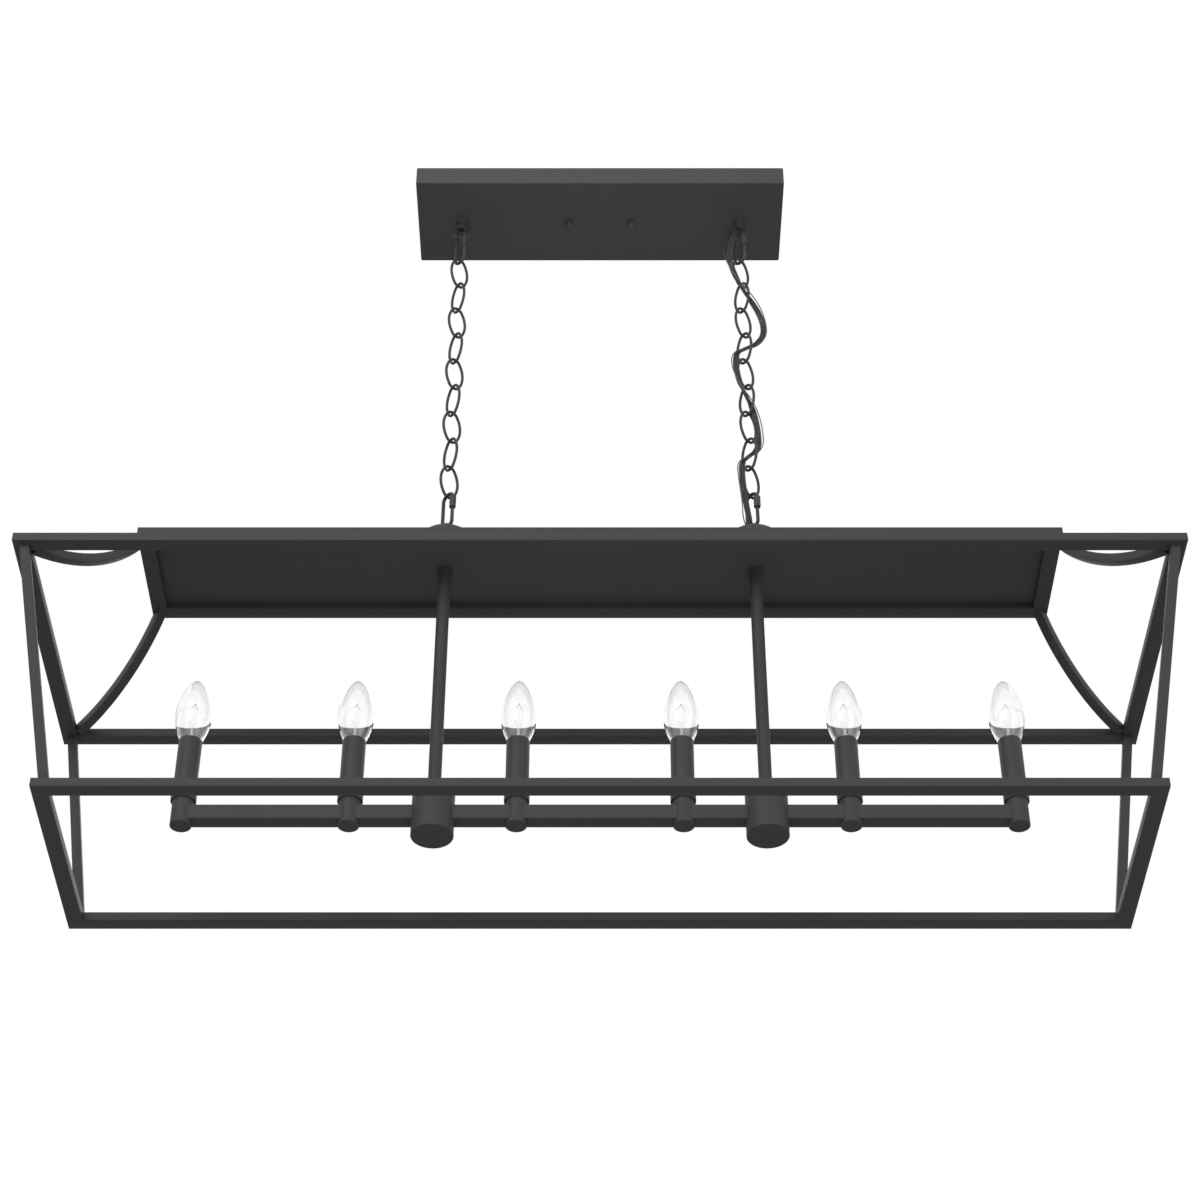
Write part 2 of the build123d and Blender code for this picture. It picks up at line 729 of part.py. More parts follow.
with BuildPart() as candle_posts:
    for x in candle_places:
        with BuildSketch(Plane((x, 0, holder_bottom))):
            Circle(holder_diameter / 2)
        extrude(amount=holder_top - holder_bottom)
    chamfer(candle_posts.edges().group_by(Axis.Z)[0], holder_chamfer)
    with Locations(*[(x, 0, holder_top) for x in candle_places]):
        Hole(socket_neck_diameter / 2 + running_gap, holder_seat)
    add(bar_envelope, mode=Mode.SUBTRACT)
save(candle_posts, "candle_posts")

with BuildPart() as drip_cups:
    for x in candle_places:
        with BuildSketch(Plane((x, 0, holder_top))):
            Circle(drip_cup_diameter / 2)
        extrude(amount=drip_cup_height)
        with BuildSketch(Plane((x, 0, sleeve_bottom))):
            Circle(sleeve_diameter / 2 + running_gap)
        extrude(amount=drip_cup_height, mode=Mode.SUBTRACT)
        with BuildSketch(Plane((x, 0, holder_top))):
            Circle(socket_neck_diameter / 2 + running_gap)
        extrude(amount=drip_cup_floor, mode=Mode.SUBTRACT)
save(drip_cups, "drip_cups")

with BuildPart() as candle_sleeves:
    for x in candle_places:
        with BuildSketch(Plane((x, 0, sleeve_bottom))):
            Circle(sleeve_diameter / 2)
            Circle(sleeve_diameter / 2 - sleeve_wall, mode=Mode.SUBTRACT)
        extrude(amount=candle_height)
save(candle_sleeves, "candle_sleeves")

with BuildPart() as lamp_sockets:
    for x in candle_places:
        with BuildSketch(Plane((x, 0, socket_bottom))):
            Circle(socket_diameter / 2)
        extrude(amount=socket_length)
        with BuildSketch(Plane((x, 0, holder_top - holder_seat))):
            Circle(socket_neck_diameter / 2)
        extrude(amount=socket_bottom - holder_top + holder_seat)
        with BuildSketch(Plane((x, 0, socket_top), z_dir=(0, 0, -1))):
            Circle(base_diameter / 2 + running_gap)
        extrude(amount=base_length + contact_length + hanging_gap, mode=Mode.SUBTRACT)
save(lamp_sockets, "lamp_sockets")


def glass_points(inset):
    """The bulb's profile from its neck to its tip: distance from its axis, height above the neck."""
    return [
        (bulb_neck_radius - inset, 0),
        (bulb_rim_radius - inset, bulb_neck_drop),
        (bulb_radius - inset, bulb_neck_drop + bulb_widest),
        (bulb_shoulder_radius - inset, bulb_neck_drop + bulb_shoulder),
        (bulb_tip_radius, bulb_neck_drop + bulb_length - bulb_tip_drop - inset),
        (0, bulb_neck_drop + bulb_length - inset),
    ]


for i, x in enumerate(candle_places):
    with BuildPart() as glass:
        with BuildSketch(upright(x, 0, bulb_neck)):
            with BuildLine():
                outer = Spline(*glass_points(0.0))
                inner = Spline(*glass_points(bulb_wall))
                Line(outer @ 0, inner @ 0)
                Line(outer @ 1, inner @ 1)
            make_face()
        revolve(axis=Axis((x, 0, bulb_neck), (0, 0, 1)))
    save(glass, f"bulb_glass_{i + 1}")
    with BuildPart() as base:
        with BuildSketch(Plane((x, 0, bulb_neck - base_collar_height))):
            Circle(bulb_neck_radius)
        extrude(amount=base_collar_height)
        with BuildSketch(Plane((x, 0, base_bottom))):
            Circle(base_diameter / 2)
        extrude(amount=base_length)
        with BuildSketch(Plane((x, 0, base_bottom - contact_length))):
            Circle(contact_diameter / 2)
        extrude(amount=contact_length)
    save(base, f"bulb_base_{i + 1}")
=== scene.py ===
import json
import logging
import math
from dataclasses import dataclass, replace
from enum import Enum
from functools import cache

import bmesh
import bpy
import numpy as np
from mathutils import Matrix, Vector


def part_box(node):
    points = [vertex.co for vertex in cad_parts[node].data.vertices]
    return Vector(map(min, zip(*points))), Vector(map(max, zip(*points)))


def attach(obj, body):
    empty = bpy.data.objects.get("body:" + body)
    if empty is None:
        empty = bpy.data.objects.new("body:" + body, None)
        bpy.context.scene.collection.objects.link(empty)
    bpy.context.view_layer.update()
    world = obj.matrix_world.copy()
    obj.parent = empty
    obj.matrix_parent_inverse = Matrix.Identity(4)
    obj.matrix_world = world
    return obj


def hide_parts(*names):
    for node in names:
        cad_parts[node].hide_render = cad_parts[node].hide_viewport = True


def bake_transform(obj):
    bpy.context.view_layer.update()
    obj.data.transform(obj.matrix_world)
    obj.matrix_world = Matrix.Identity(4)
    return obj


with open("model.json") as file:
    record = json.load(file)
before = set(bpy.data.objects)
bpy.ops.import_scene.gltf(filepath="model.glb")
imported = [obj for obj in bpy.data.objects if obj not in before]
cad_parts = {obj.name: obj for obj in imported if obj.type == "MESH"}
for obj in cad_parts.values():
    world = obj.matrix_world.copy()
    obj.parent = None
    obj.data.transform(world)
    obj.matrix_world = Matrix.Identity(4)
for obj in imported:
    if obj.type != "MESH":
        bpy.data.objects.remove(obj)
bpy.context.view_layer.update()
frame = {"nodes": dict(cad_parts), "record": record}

# A linear island pendant. Z is up, the origin is the middle of the canopy in the ceiling's plane, X
# runs along the light, and everything is in metres. Places come from the frame. The sizes written
# here are what the frame's boxes don't give: wires, walls, roundings, threads and finishes.

MM = 0.001
SIDES = ("left", "right")
CORNERS = [(x, y, 1.0) for x in (-1.0, 1.0) for y in (-1.0, 1.0)]
CANDLES = 6
LOG = logging.getLogger("pendant")
Grid = np.ndarray


# --- Shader maths ---------------------------------------------------------------------------------

# The Mix node's factor, its two colours and its coloured result, by their numbers
MIX_FACTOR, MIX_LOW, MIX_HIGH, MIX_RESULT = 0, 6, 7, 2


class Wire:
    """A shader socket that arithmetic can be written on; each operation adds a Math node."""

    def __init__(self, graph: "Graph", socket: bpy.types.NodeSocket) -> None:
        """Keeps the socket and the graph that it belongs to."""
        self.graph = graph
        self.socket = socket

    def _maths(self, operation: str, first: object, second: object) -> "Wire":
        """Adds one Math node.

        Args:
            operation: the node's operation, such as MULTIPLY.
            first: a wire or a number.
            second: a wire or a number.

        Returns:
            The node's result.
        """
        return self.graph.node("ShaderNodeMath", {"operation": operation}, {0: first, 1: second})

    def __add__(self, other: object) -> "Wire":
        """This value plus another."""
        return self._maths("ADD", self, other)

    def __sub__(self, other: object) -> "Wire":
        """This value less another."""
        return self._maths("SUBTRACT", self, other)

    def __mul__(self, other: object) -> "Wire":
        """This value times another."""
        return self._maths("MULTIPLY", self, other)

    def __rsub__(self, other: object) -> "Wire":
        """Another value less this one."""
        return self._maths("SUBTRACT", other, self)

    __radd__ = __add__
    __rmul__ = __mul__


class Graph:
    """The node graph of one material, or of the world."""

    def __init__(self, name: str, world: bool = False) -> None:
        """Starts an empty material, or the world, of that name."""
        self.owner = (bpy.data.worlds if world else bpy.data.materials).new(name)
        self.owner.use_nodes = True
        self.tree = self.owner.node_tree
        self.tree.nodes.clear()
        self.last = "ShaderNodeOutputWorld" if world else "ShaderNodeOutputMaterial"

    def node(self, kind: str, settings: dict | None = None, inputs: dict | None = None,
             output: int | str = 0) -> Wire:
        """Adds a node of any kind.

        Args:
            kind: the node's type.
            settings: its properties.
            inputs: values or wires, by the socket's name or number.
            output: the socket that is handed back.

        Returns:
            The chosen output.
        """
        node = self.tree.nodes.new(kind)
        for key, value in (settings or {}).items():
            setattr(node, key, value)
        for key, value in (inputs or {}).items():
            if isinstance(value, Wire):
                self.tree.links.new(value.socket, node.inputs[key])
            else:
                node.inputs[key].default_value = value
        return Wire(self, node.outputs[output])

    def noise(self, scale: float, detail: float = 2.0, stretch: tuple = (1.0, 1.0, 1.0)) -> Wire:
        """Noise on Object coordinates.

        Args:
            scale: cells in a metre.
            detail: octaves.
            stretch: how much finer the noise is along each axis.

        Returns:
            A value about 0.5.
        """
        place = self.node("ShaderNodeTexCoord", output="Object")
        place = self.node("ShaderNodeMapping", {}, {"Vector": place, "Scale": stretch})
        inputs = {"Vector": place, "Scale": scale, "Detail": detail}
        return self.node("ShaderNodeTexNoise", {}, inputs)

    def tint(self, amount: Wire, low: tuple, high: tuple) -> Wire:
        """Mixes two colours by an amount from 0 to 1."""
        sockets = {MIX_FACTOR: amount, MIX_LOW: (*low, 1.0), MIX_HIGH: (*high, 1.0)}
        return self.node("ShaderNodeMix", {"data_type": "RGBA"}, sockets, MIX_RESULT)

    def bump(self, height: Wire, depth: float) -> Wire:
        """A bump of a height from 0 to 1 that is depth metres deep."""
        inputs = {"Strength": 1.0, "Distance": depth, "Height": height}
        return self.node("ShaderNodeBump", {}, inputs)

    def principled(self, inputs: dict) -> Wire:
        """The general surface shader with these inputs."""
        return self.node("ShaderNodeBsdfPrincipled", {}, inputs)

    def finish(self, shader: Wire) -> bpy.types.ID:
        """Joins a shader to the output and hands back the material or the world."""
        output = self.tree.nodes.new(self.last)
        self.tree.links.new(shader.socket, output.inputs["Surface"])
        return self.owner


def grey(level: float, warmth: float = 0.0) -> tuple:
    """A linear colour from an sRGB grey of 0 to 255, with red raised and blue lowered by warmth."""
    tones = (np.array([level + warmth, level, level - warmth]) / 255.0).clip(0.0, 1.0)
    linear = np.where(tones <= 0.04045, tones / 12.92, ((tones + 0.055) / 1.055) ** 2.4)
    return tuple(float(tone) for tone in linear)


# --- Finishes -------------------------------------------------------------------------------------


class Slot(Enum):
    """The record's material slots."""

    SHEET = "painted_sheet"
    BAR = "painted_bar"
    TURNED = "painted_turned"
    SLEEVE = "painted_sleeve"
    HARDWARE = "painted_hardware"
    ZINC = "zinc_steel"
    GREEN = "green_screw"
    CONNECTOR = "connector_plastic"
    CORD = "cord_sheath"
    COPPER = "bare_copper"
    SOCKET = "socket_plastic"
    GLASS = "bulb_glass"
    BRASS = "bulb_brass"


@dataclass(frozen=True)
class Finish:
    """An opaque surface whose colour, sheen and relief vary.

    Broad patches and fine specks share out the colour between dark and light. Patches and skin add
    to the least roughness, and skin and specks make the relief. Each noise is given as its cells in
    a metre, its octaves and, where it is uneven, how much finer it is along each axis. The skin
    serves as the specks of a surface that has none of its own.
    """

    slot: Slot
    light: tuple
    dark: tuple
    smoothest: float
    patches: tuple
    skin: tuple
    patch_sheen: float
    skin_sheen: float
    depth: float
    specular: float = 0.5
    metallic: float = 0.0
    specks: tuple = ()
    speck_tone: float = 0.0
    speck_relief: float = 0.0
    suffix: str = ""

    def material(self) -> bpy.types.Material:
        """Builds the surface from its two or three noises."""
        graph = Graph(self.slot.value + self.suffix)
        patches, skin = graph.noise(*self.patches), graph.noise(*self.skin)
        specks = graph.noise(*self.specks) if self.specks else skin
        amount = patches * (1.0 - self.speck_tone) + specks * self.speck_tone
        inputs = {
            "Base Color": graph.tint(amount, self.dark, self.light),
            "Roughness": patches * self.patch_sheen + skin * self.skin_sheen + self.smoothest,
            "Metallic": self.metallic,
            "Specular IOR Level": self.specular,
            "Normal": graph.bump(skin + specks * self.speck_relief, self.depth),
        }
        return graph.finish(graph.principled(inputs))


@dataclass(frozen=True)
class ClearGlass:
    """Blown clear glass, faintly wavy, with a painted pale beige haze that is strongest at its
    neck: a painted reflection over the bar seen through the glass.
    """

    slot: Slot
    ior: float = 1.47
    tint: float = 0.982
    roughness: float = 0.01
    wave_scale: float = 55.0
    wave_depth: float = 0.12 * MM
    wave_sheen: float = 0.02
    # The painted haze: a pale diffuse layer mixed into the glass that paints reflected light low in
    # the bulb
    painted_haze: float = 0.13
    painted_haze_colour: tuple = (0.93, 0.90, 0.87)
    painted_haze_roughness: float = 0.25
    painted_haze_sheen: float = 0.1
    painted_haze_top: float = -0.7430
    painted_haze_fade: float = 0.0120

    def material(self) -> bpy.types.Material:
        """Builds the glass: a clear body that waves a little, mixed by height with the painted
        haze.
        """
        graph = Graph(self.slot.value)
        waves = graph.noise(self.wave_scale, 1.0)
        bump = graph.bump(waves, self.wave_depth)
        clear = graph.principled({
            "Base Color": (self.tint, self.tint, self.tint, 1.0),
            "Roughness": waves * self.wave_sheen + self.roughness,
            "Transmission Weight": 1.0,
            "IOR": self.ior,
            "Normal": bump,
        })
        # Painted reflection: a pale diffuse layer that lightens the glass near the neck
        painted_haze_shader = graph.principled({
            "Base Color": (*self.painted_haze_colour, 1.0),
            "Roughness": waves * self.painted_haze_sheen + self.painted_haze_roughness,
            "Normal": bump,
        })
        place = graph.node("ShaderNodeTexCoord", output="Object")
        height = graph.node("ShaderNodeSeparateXYZ", {}, {"Vector": place}, "Z")
        limits = {"From Min": self.painted_haze_top - self.painted_haze_fade, "From Max": self.painted_haze_top}
        share = graph.node("ShaderNodeMapRange", {}, {"Value": height, **limits})
        parts = {0: self.painted_haze - share * self.painted_haze, 1: clear, 2: painted_haze_shader}
        return graph.finish(graph.node("ShaderNodeMixShader", {}, parts))


# Matt dark powder coat with an orange-peel skin
BAR = Finish(
    Slot.BAR, grey(66.5), grey(61.5), 0.48, patches=(14.0, 3.0), skin=(620.0, 2.0),
    patch_sheen=0.12, skin_sheen=0.08, depth=0.035 * MM, specular=0.22,
    specks=(3100.0, 1.0), speck_tone=0.3, speck_relief=0.35,
)
SHEET = replace(BAR, slot=Slot.SHEET, light=grey(70.5), dark=grey(65.5))
TURNED = replace(BAR, slot=Slot.TURNED)
SLEEVE = replace(BAR, slot=Slot.SLEEVE, smoothest=0.4, depth=0.02 * MM)
HARDWARE = replace(
    SLEEVE, slot=Slot.HARDWARE, light=grey(64.5), dark=grey(59.5), skin=(1100.0, 2.0),
    specks=(5500.0, 1.0),
)

# Bare or plated metal with fine rub marks along one axis
ZINC = Finish(
    Slot.ZINC, (0.62, 0.63, 0.64), (0.43, 0.44, 0.45), 0.22, patches=(90.0, 4.0),
    skin=(900.0, 3.0, (1.0, 1.0, 0.08)), patch_sheen=0.18, skin_sheen=0.14, depth=0.01 * MM,
    metallic=1.0,
)
FILAMENT = replace(ZINC, light=(0.90,) * 3, dark=(0.78,) * 3, smoothest=0.14)
BRASS = replace(
    FILAMENT, slot=Slot.BRASS, light=(0.80, 0.62, 0.32), dark=(0.62, 0.46, 0.22))
COPPER = replace(
    ZINC, slot=Slot.COPPER, light=grey(96.0, 3.0), dark=grey(78.0, 2.0), smoothest=0.31)

# Moulded plastic or rubber with a fine skin
GREEN = Finish(
    Slot.GREEN, (0.03, 0.22, 0.07), (0.02, 0.15, 0.05), 0.25, patches=(60.0, 3.0),
    skin=(1400.0, 2.0), patch_sheen=0.12, skin_sheen=0.1, depth=0.012 * MM, specular=0.35,
    speck_tone=0.4,
)
CONNECTOR = replace(
    GREEN, slot=Slot.CONNECTOR, light=(0.78, 0.30, 0.05), dark=(0.66, 0.24, 0.04), smoothest=0.35)
SOCKET = replace(
    GREEN, slot=Slot.SOCKET, light=(0.72, 0.70, 0.64), dark=(0.66, 0.64, 0.58), smoothest=0.3)
CORD = replace(
    GREEN, slot=Slot.CORD, light=grey(62.0), dark=grey(52.0), smoothest=0.4, skin=(500.0, 2.0),
    depth=0.03 * MM, specular=0.3,
)

# Clear glass, and the pressed foot of a bulb's mount in opaque white: a real part whose white is a
# painted highlight standing in for the bright glint of its clear glass
GLASS = ClearGlass(Slot.GLASS)
MOUNT_PAINTED_HIGHLIGHT = Finish(
    Slot.GLASS, (0.95,) * 3, (0.91,) * 3, 0.2, patches=(300.0, 2.0), skin=(300.0, 2.0),
    patch_sheen=0.1, skin_sheen=0.0, depth=0.05 * MM, suffix="_mount",
)

CAD_FINISHES = {finish.slot.value: finish for finish in (
    SHEET, BAR, TURNED, SLEEVE, HARDWARE, ZINC, GREEN, CONNECTOR, CORD, COPPER, SOCKET, GLASS,
    BRASS,
)}


@cache
def material_of(finish: object) -> bpy.types.Material:
    """The material of a finish, built once."""
    return finish.material()


# --- Surfaces -------------------------------------------------------------------------------------


def around(count: int) -> Grid:
    """Evenly spaced angles of a full turn, without the last."""
    return np.linspace(0.0, math.tau, count, endpoint=False)


def arc(centre: tuple, radius: float, start: float, stop: float, count: int) -> Grid:
    """Points of an arc in a plane, centre + radius * (cosine, sine) of each angle.

    Args:
        centre: the arc's centre.
        radius: its radius.
        start: the first angle, in degrees.
        stop: the last angle, in degrees.
        count: how many points.

    Returns:
        An array of count by 2.
    """
    angles = np.radians(np.linspace(start, stop, count))
    x, y = centre[0] + radius * np.cos(angles), centre[1] + radius * np.sin(angles)
    return np.stack([x, y], axis=-1)


def turned(profile: Grid, columns: int, centre: tuple = (0.0, 0.0),
           relief: Grid | float = 0.0) -> Grid:
    """A surface of revolution about an upright axis: radius (r + relief) at each angle, height z.

    Args:
        profile: rows of radius and height.
        columns: points round the axis.
        centre: the axis in plan.
        relief: what is added to the radius, for each row and column.

    Returns:
        A grid of rows by columns by 3.
    """
    angles = around(columns)
    radius = profile[:, :1] + relief
    x = centre[0] + radius * np.cos(angles)
    y = centre[1] + radius * np.sin(angles)
    return np.stack([x, y, np.broadcast_to(profile[:, 1:], x.shape)], axis=-1)


def closed_profile(*parts: Grid) -> Grid:
    """Strings points and arcs into one profile, (count, 2)."""
    return np.concatenate([np.atleast_2d(np.array(part, float)) for part in parts])


def upright(radius: float, heights: Grid) -> Grid:
    """A straight run of a profile, or of a path: one radius at many heights."""
    return np.stack([np.full_like(heights, radius), heights], axis=-1)


def carried(path: Grid, sideways: Grid, upward: Grid, section: Grid) -> Grid:
    """A section carried along a path: path + across * sideways + up * upward at each point.

    Args:
        path: rows by 3.
        sideways: the section's own x axis at each row.
        upward: the section's own y axis at each row.
        section: columns by 2, or rows by columns by 2 where it changes along the path.

    Returns:
        A grid of rows by columns by 3.
    """
    across, up = section[..., 0:1], section[..., 1:2]
    return path[:, None] + across * sideways[:, None] + up * upward[:, None]


def circle(radius: float | Grid, columns: int) -> Grid:
    """A circle's section, or one for each row where the radius is a column of radii."""
    angles = around(columns)
    return np.stack([radius * np.cos(angles), radius * np.sin(angles)], axis=-1)


def rounded_box(half_x: Grid, half_y: Grid, radius: Grid, per_corner: int = 5) -> Grid:
    """Rings of a rectangle with round corners, one for each row of half sizes.

    Each corner is a quarter circle about (half_x - radius, half_y - radius) in its own quadrant.

    Args:
        half_x: half the length of each row.
        half_y: half the width of each row.
        radius: the corner radius of each row.
        per_corner: points in a corner.

    Returns:
        An array of rows by (4 * per_corner) by 2.
    """
    sizes = (half_x, half_y, radius)
    half_x, half_y, radius = (np.atleast_1d(np.array(size, float))[:, None] for size in sizes)
    quarter = math.pi / 2.0
    angles = (np.arange(4)[:, None] * quarter + np.linspace(0.0, quarter, per_corner)).ravel()
    way_x = np.repeat([1.0, -1.0, -1.0, 1.0], per_corner)
    way_y = np.repeat([1.0, 1.0, -1.0, -1.0], per_corner)
    x = way_x * (half_x - radius) + radius * np.cos(angles)
    y = way_y * (half_y - radius) + radius * np.sin(angles)
    return np.stack([x, y], axis=-1)


def along(path: Grid, closed: bool = False) -> Grid:
    """Unit tangents of a path: the direction from the point before to the point after."""
    if closed:
        step = np.roll(path, -1, axis=0) - np.roll(path, 1, axis=0)
    else:
        step = np.gradient(path, axis=0)
    return step / np.linalg.norm(step, axis=1, keepdims=True)


def arc_lengths(path: Grid) -> Grid:
    """The distance along a path to each of its points."""
    return np.concatenate([[0.0], np.cumsum(np.linalg.norm(np.diff(path, axis=0), axis=1))])


def framed(line: Grid, up: tuple) -> tuple:
    """Two unit axes square to a line at each of its points, the first of them square to up too."""
    tangent = along(line)
    beside = np.cross(tangent, up)
    beside /= np.linalg.norm(beside, axis=1, keepdims=True)
    return beside, np.cross(beside, tangent)


def flat_tube(path: Grid, radius: float | Grid, columns: int, closed: bool = False) -> Grid:
    """A round tube along a path in the X-Z plane, framed by the path's own normal and the Y axis.

    Args:
        path: rows by 2, as x and z.
        radius: the wire's radius, or a grid of radii by rows and columns.
        columns: points round the wire.
        closed: whether the path comes back to its start.

    Returns:
        A grid of rows by columns by 3.
    """
    line = np.stack([path[:, 0], np.zeros(len(path)), path[:, 1]], axis=-1)
    tangent = along(line, closed)
    outward = np.cross(tangent, [0.0, 1.0, 0.0])
    beside = np.broadcast_to([0.0, 1.0, 0.0], line.shape)
    return carried(line, outward, beside, circle(radius, columns))


def placed(grid: Grid, angle: float, place: tuple) -> Grid:
    """A grid turned about Z by an angle in degrees and then moved to its place."""
    cosine, sine = math.cos(math.radians(angle)), math.sin(math.radians(angle))
    matrix = np.array([[cosine, sine, 0.0], [-sine, cosine, 0.0], [0.0, 0.0, 1.0]])
    return grid @ matrix + np.array(place)


def capped(grid: Grid) -> Grid:
    """The grid with each open end drawn in to one point, which closes a tube or a bar."""
    first = np.broadcast_to(grid[:1].mean(axis=1, keepdims=True), grid[:1].shape)
    last = np.broadcast_to(grid[-1:].mean(axis=1, keepdims=True), grid[-1:].shape)
    return np.concatenate([first, grid, last])


def triangle_wave(turns: Grid) -> Grid:
    """A wave that rises from 0 to 1 and falls back within each turn."""
    return 1.0 - np.abs(2.0 * (turns % 1.0) - 1.0)


def ridges(reach: Grid, pitch: float, columns: int) -> Grid:
    """A screw's ridges, 0 to 1, by rows and columns: a triangle wave that climbs a pitch a turn."""
    return triangle_wave(reach[:, None] / pitch + around(columns) / math.tau)


def smooth_curve(points: Grid, count: int) -> Grid:
    """The natural cubic spline through points, by the length of the straight runs between them.

    Between two points it is the weighted mean of both plus a cubic term in their second
    derivatives, which solve one linear system and are zero at the ends.

    Args:
        points: rows by 2.
        count: how many points to read off, closer together near the ends.

    Returns:
        An array of count by 2.
    """
    knots = arc_lengths(points)
    gaps = np.diff(knots)
    size = len(points)
    system, target = np.eye(size), np.zeros_like(points)
    inner = np.arange(1, size - 1)
    system[inner, inner - 1], system[inner, inner + 1] = gaps[:-1], gaps[1:]
    system[inner, inner] = 2.0 * (gaps[:-1] + gaps[1:])
    slopes = np.diff(points, axis=0) / gaps[:, None]
    target[inner] = 6.0 * np.diff(slopes, axis=0)
    bend = np.linalg.solve(system, target)
    at = knots[-1] * (1.0 - np.cos(np.linspace(0.0, math.pi, count))) / 2.0
    run = np.clip(np.searchsorted(knots, at, side="right") - 1, 0, size - 2)
    gap = gaps[run][:, None]
    after = (at - knots[run])[:, None] / gap
    before = 1.0 - after
    curve = (before**3 - before) * bend[run] + (after**3 - after) * bend[run + 1]
    return before * points[run] + after * points[run + 1] + gap**2 / 6.0 * curve


# --- Pieces ---------------------------------------------------------------------------------------

# Points this close together are one, and edges sharper than this, in degrees, show as edges
MERGE, SHARP = 0.0002 * MM, 32.0


@dataclass(frozen=True)
class Surface:
    """One closed surface of a piece: its grid, and whether its rows close on themselves."""

    grid: Grid
    ring: bool = False

    def faces(self, first: int) -> Grid:
        """The quads of the grid, whose corners are numbered from first; columns always close."""
        rows, columns = self.grid.shape[:2]
        numbers = np.arange(rows * columns).reshape(rows, columns) + first
        ahead = np.roll(numbers, -1, axis=0) if self.ring else numbers[1:]
        here = numbers if self.ring else numbers[:-1]
        quads = [here, np.roll(here, -1, axis=1), np.roll(ahead, -1, axis=1), ahead]
        return np.stack(quads, axis=-1).reshape(-1, 4)


def make_piece(name: str, surfaces: list, finish: object, body: str | None,
               nodes: tuple = ()) -> bpy.types.Object:
    """Makes one mesh from closed surfaces, dresses it and ties it to the frame.

    Points that fall together are merged, which closes seams and poles, the faces are turned
    outwards, and edges sharper than SHARP stay sharp under smooth shading.

    Args:
        name: the piece's name.
        surfaces: the closed surfaces that it is made of.
        finish: what it is dressed in.
        body: the CAD body it rides on, or None where the caller ties it.
        nodes: the CAD nodes that it stands for.

    Returns:
        The new object.
    """
    sizes = [surface.grid.shape[0] * surface.grid.shape[1] for surface in surfaces]
    starts = np.concatenate([[0], np.cumsum(sizes)])
    points = np.concatenate([surface.grid.reshape(-1, 3) for surface in surfaces])
    faces = np.concatenate([surface.faces(int(first)) for surface, first in zip(surfaces, starts)])
    mesh = bpy.data.meshes.new(name)
    mesh.vertices.add(len(points))
    mesh.vertices.foreach_set("co", points.astype(np.float32).ravel())
    mesh.loops.add(faces.size)
    mesh.loops.foreach_set("vertex_index", faces.astype(np.int32).ravel())
    mesh.polygons.add(len(faces))
    mesh.polygons.foreach_set("loop_start", np.arange(0, faces.size, 4, dtype=np.int32))
    mesh.update(calc_edges=True)
    shape = bmesh.new()
    shape.from_mesh(mesh)
    bmesh.ops.remove_doubles(shape, verts=shape.verts, dist=MERGE)
    bmesh.ops.recalc_face_normals(shape, faces=shape.faces)
    shape.to_mesh(mesh)
    shape.free()
    mesh.shade_smooth()
    mesh.set_sharp_from_angle(angle=math.radians(SHARP))
    mesh.materials.append(material_of(finish))
    piece = bpy.data.objects.new(name, mesh)
    bpy.context.scene.collection.objects.link(piece)
    if nodes:
        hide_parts(*nodes)
    if body:
        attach(piece, body)
    LOG.info("%s: %d faces for %s", name, len(mesh.polygons), ", ".join(nodes) or "no node")
    return piece


@dataclass
class Place:
    """Where a CAD node lies: its box, its middle, its upright axis and its size."""

    node: str

    def __post_init__(self) -> None:
        """Reads the node's box from the frame."""
        self.low, self.high = (np.array(corner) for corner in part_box(self.node))
        self.middle = (self.low + self.high) / 2.0
        self.axis = tuple(self.middle[:2])
        self.size = self.high - self.low


# --- Canopy ---------------------------------------------------------------------------------------


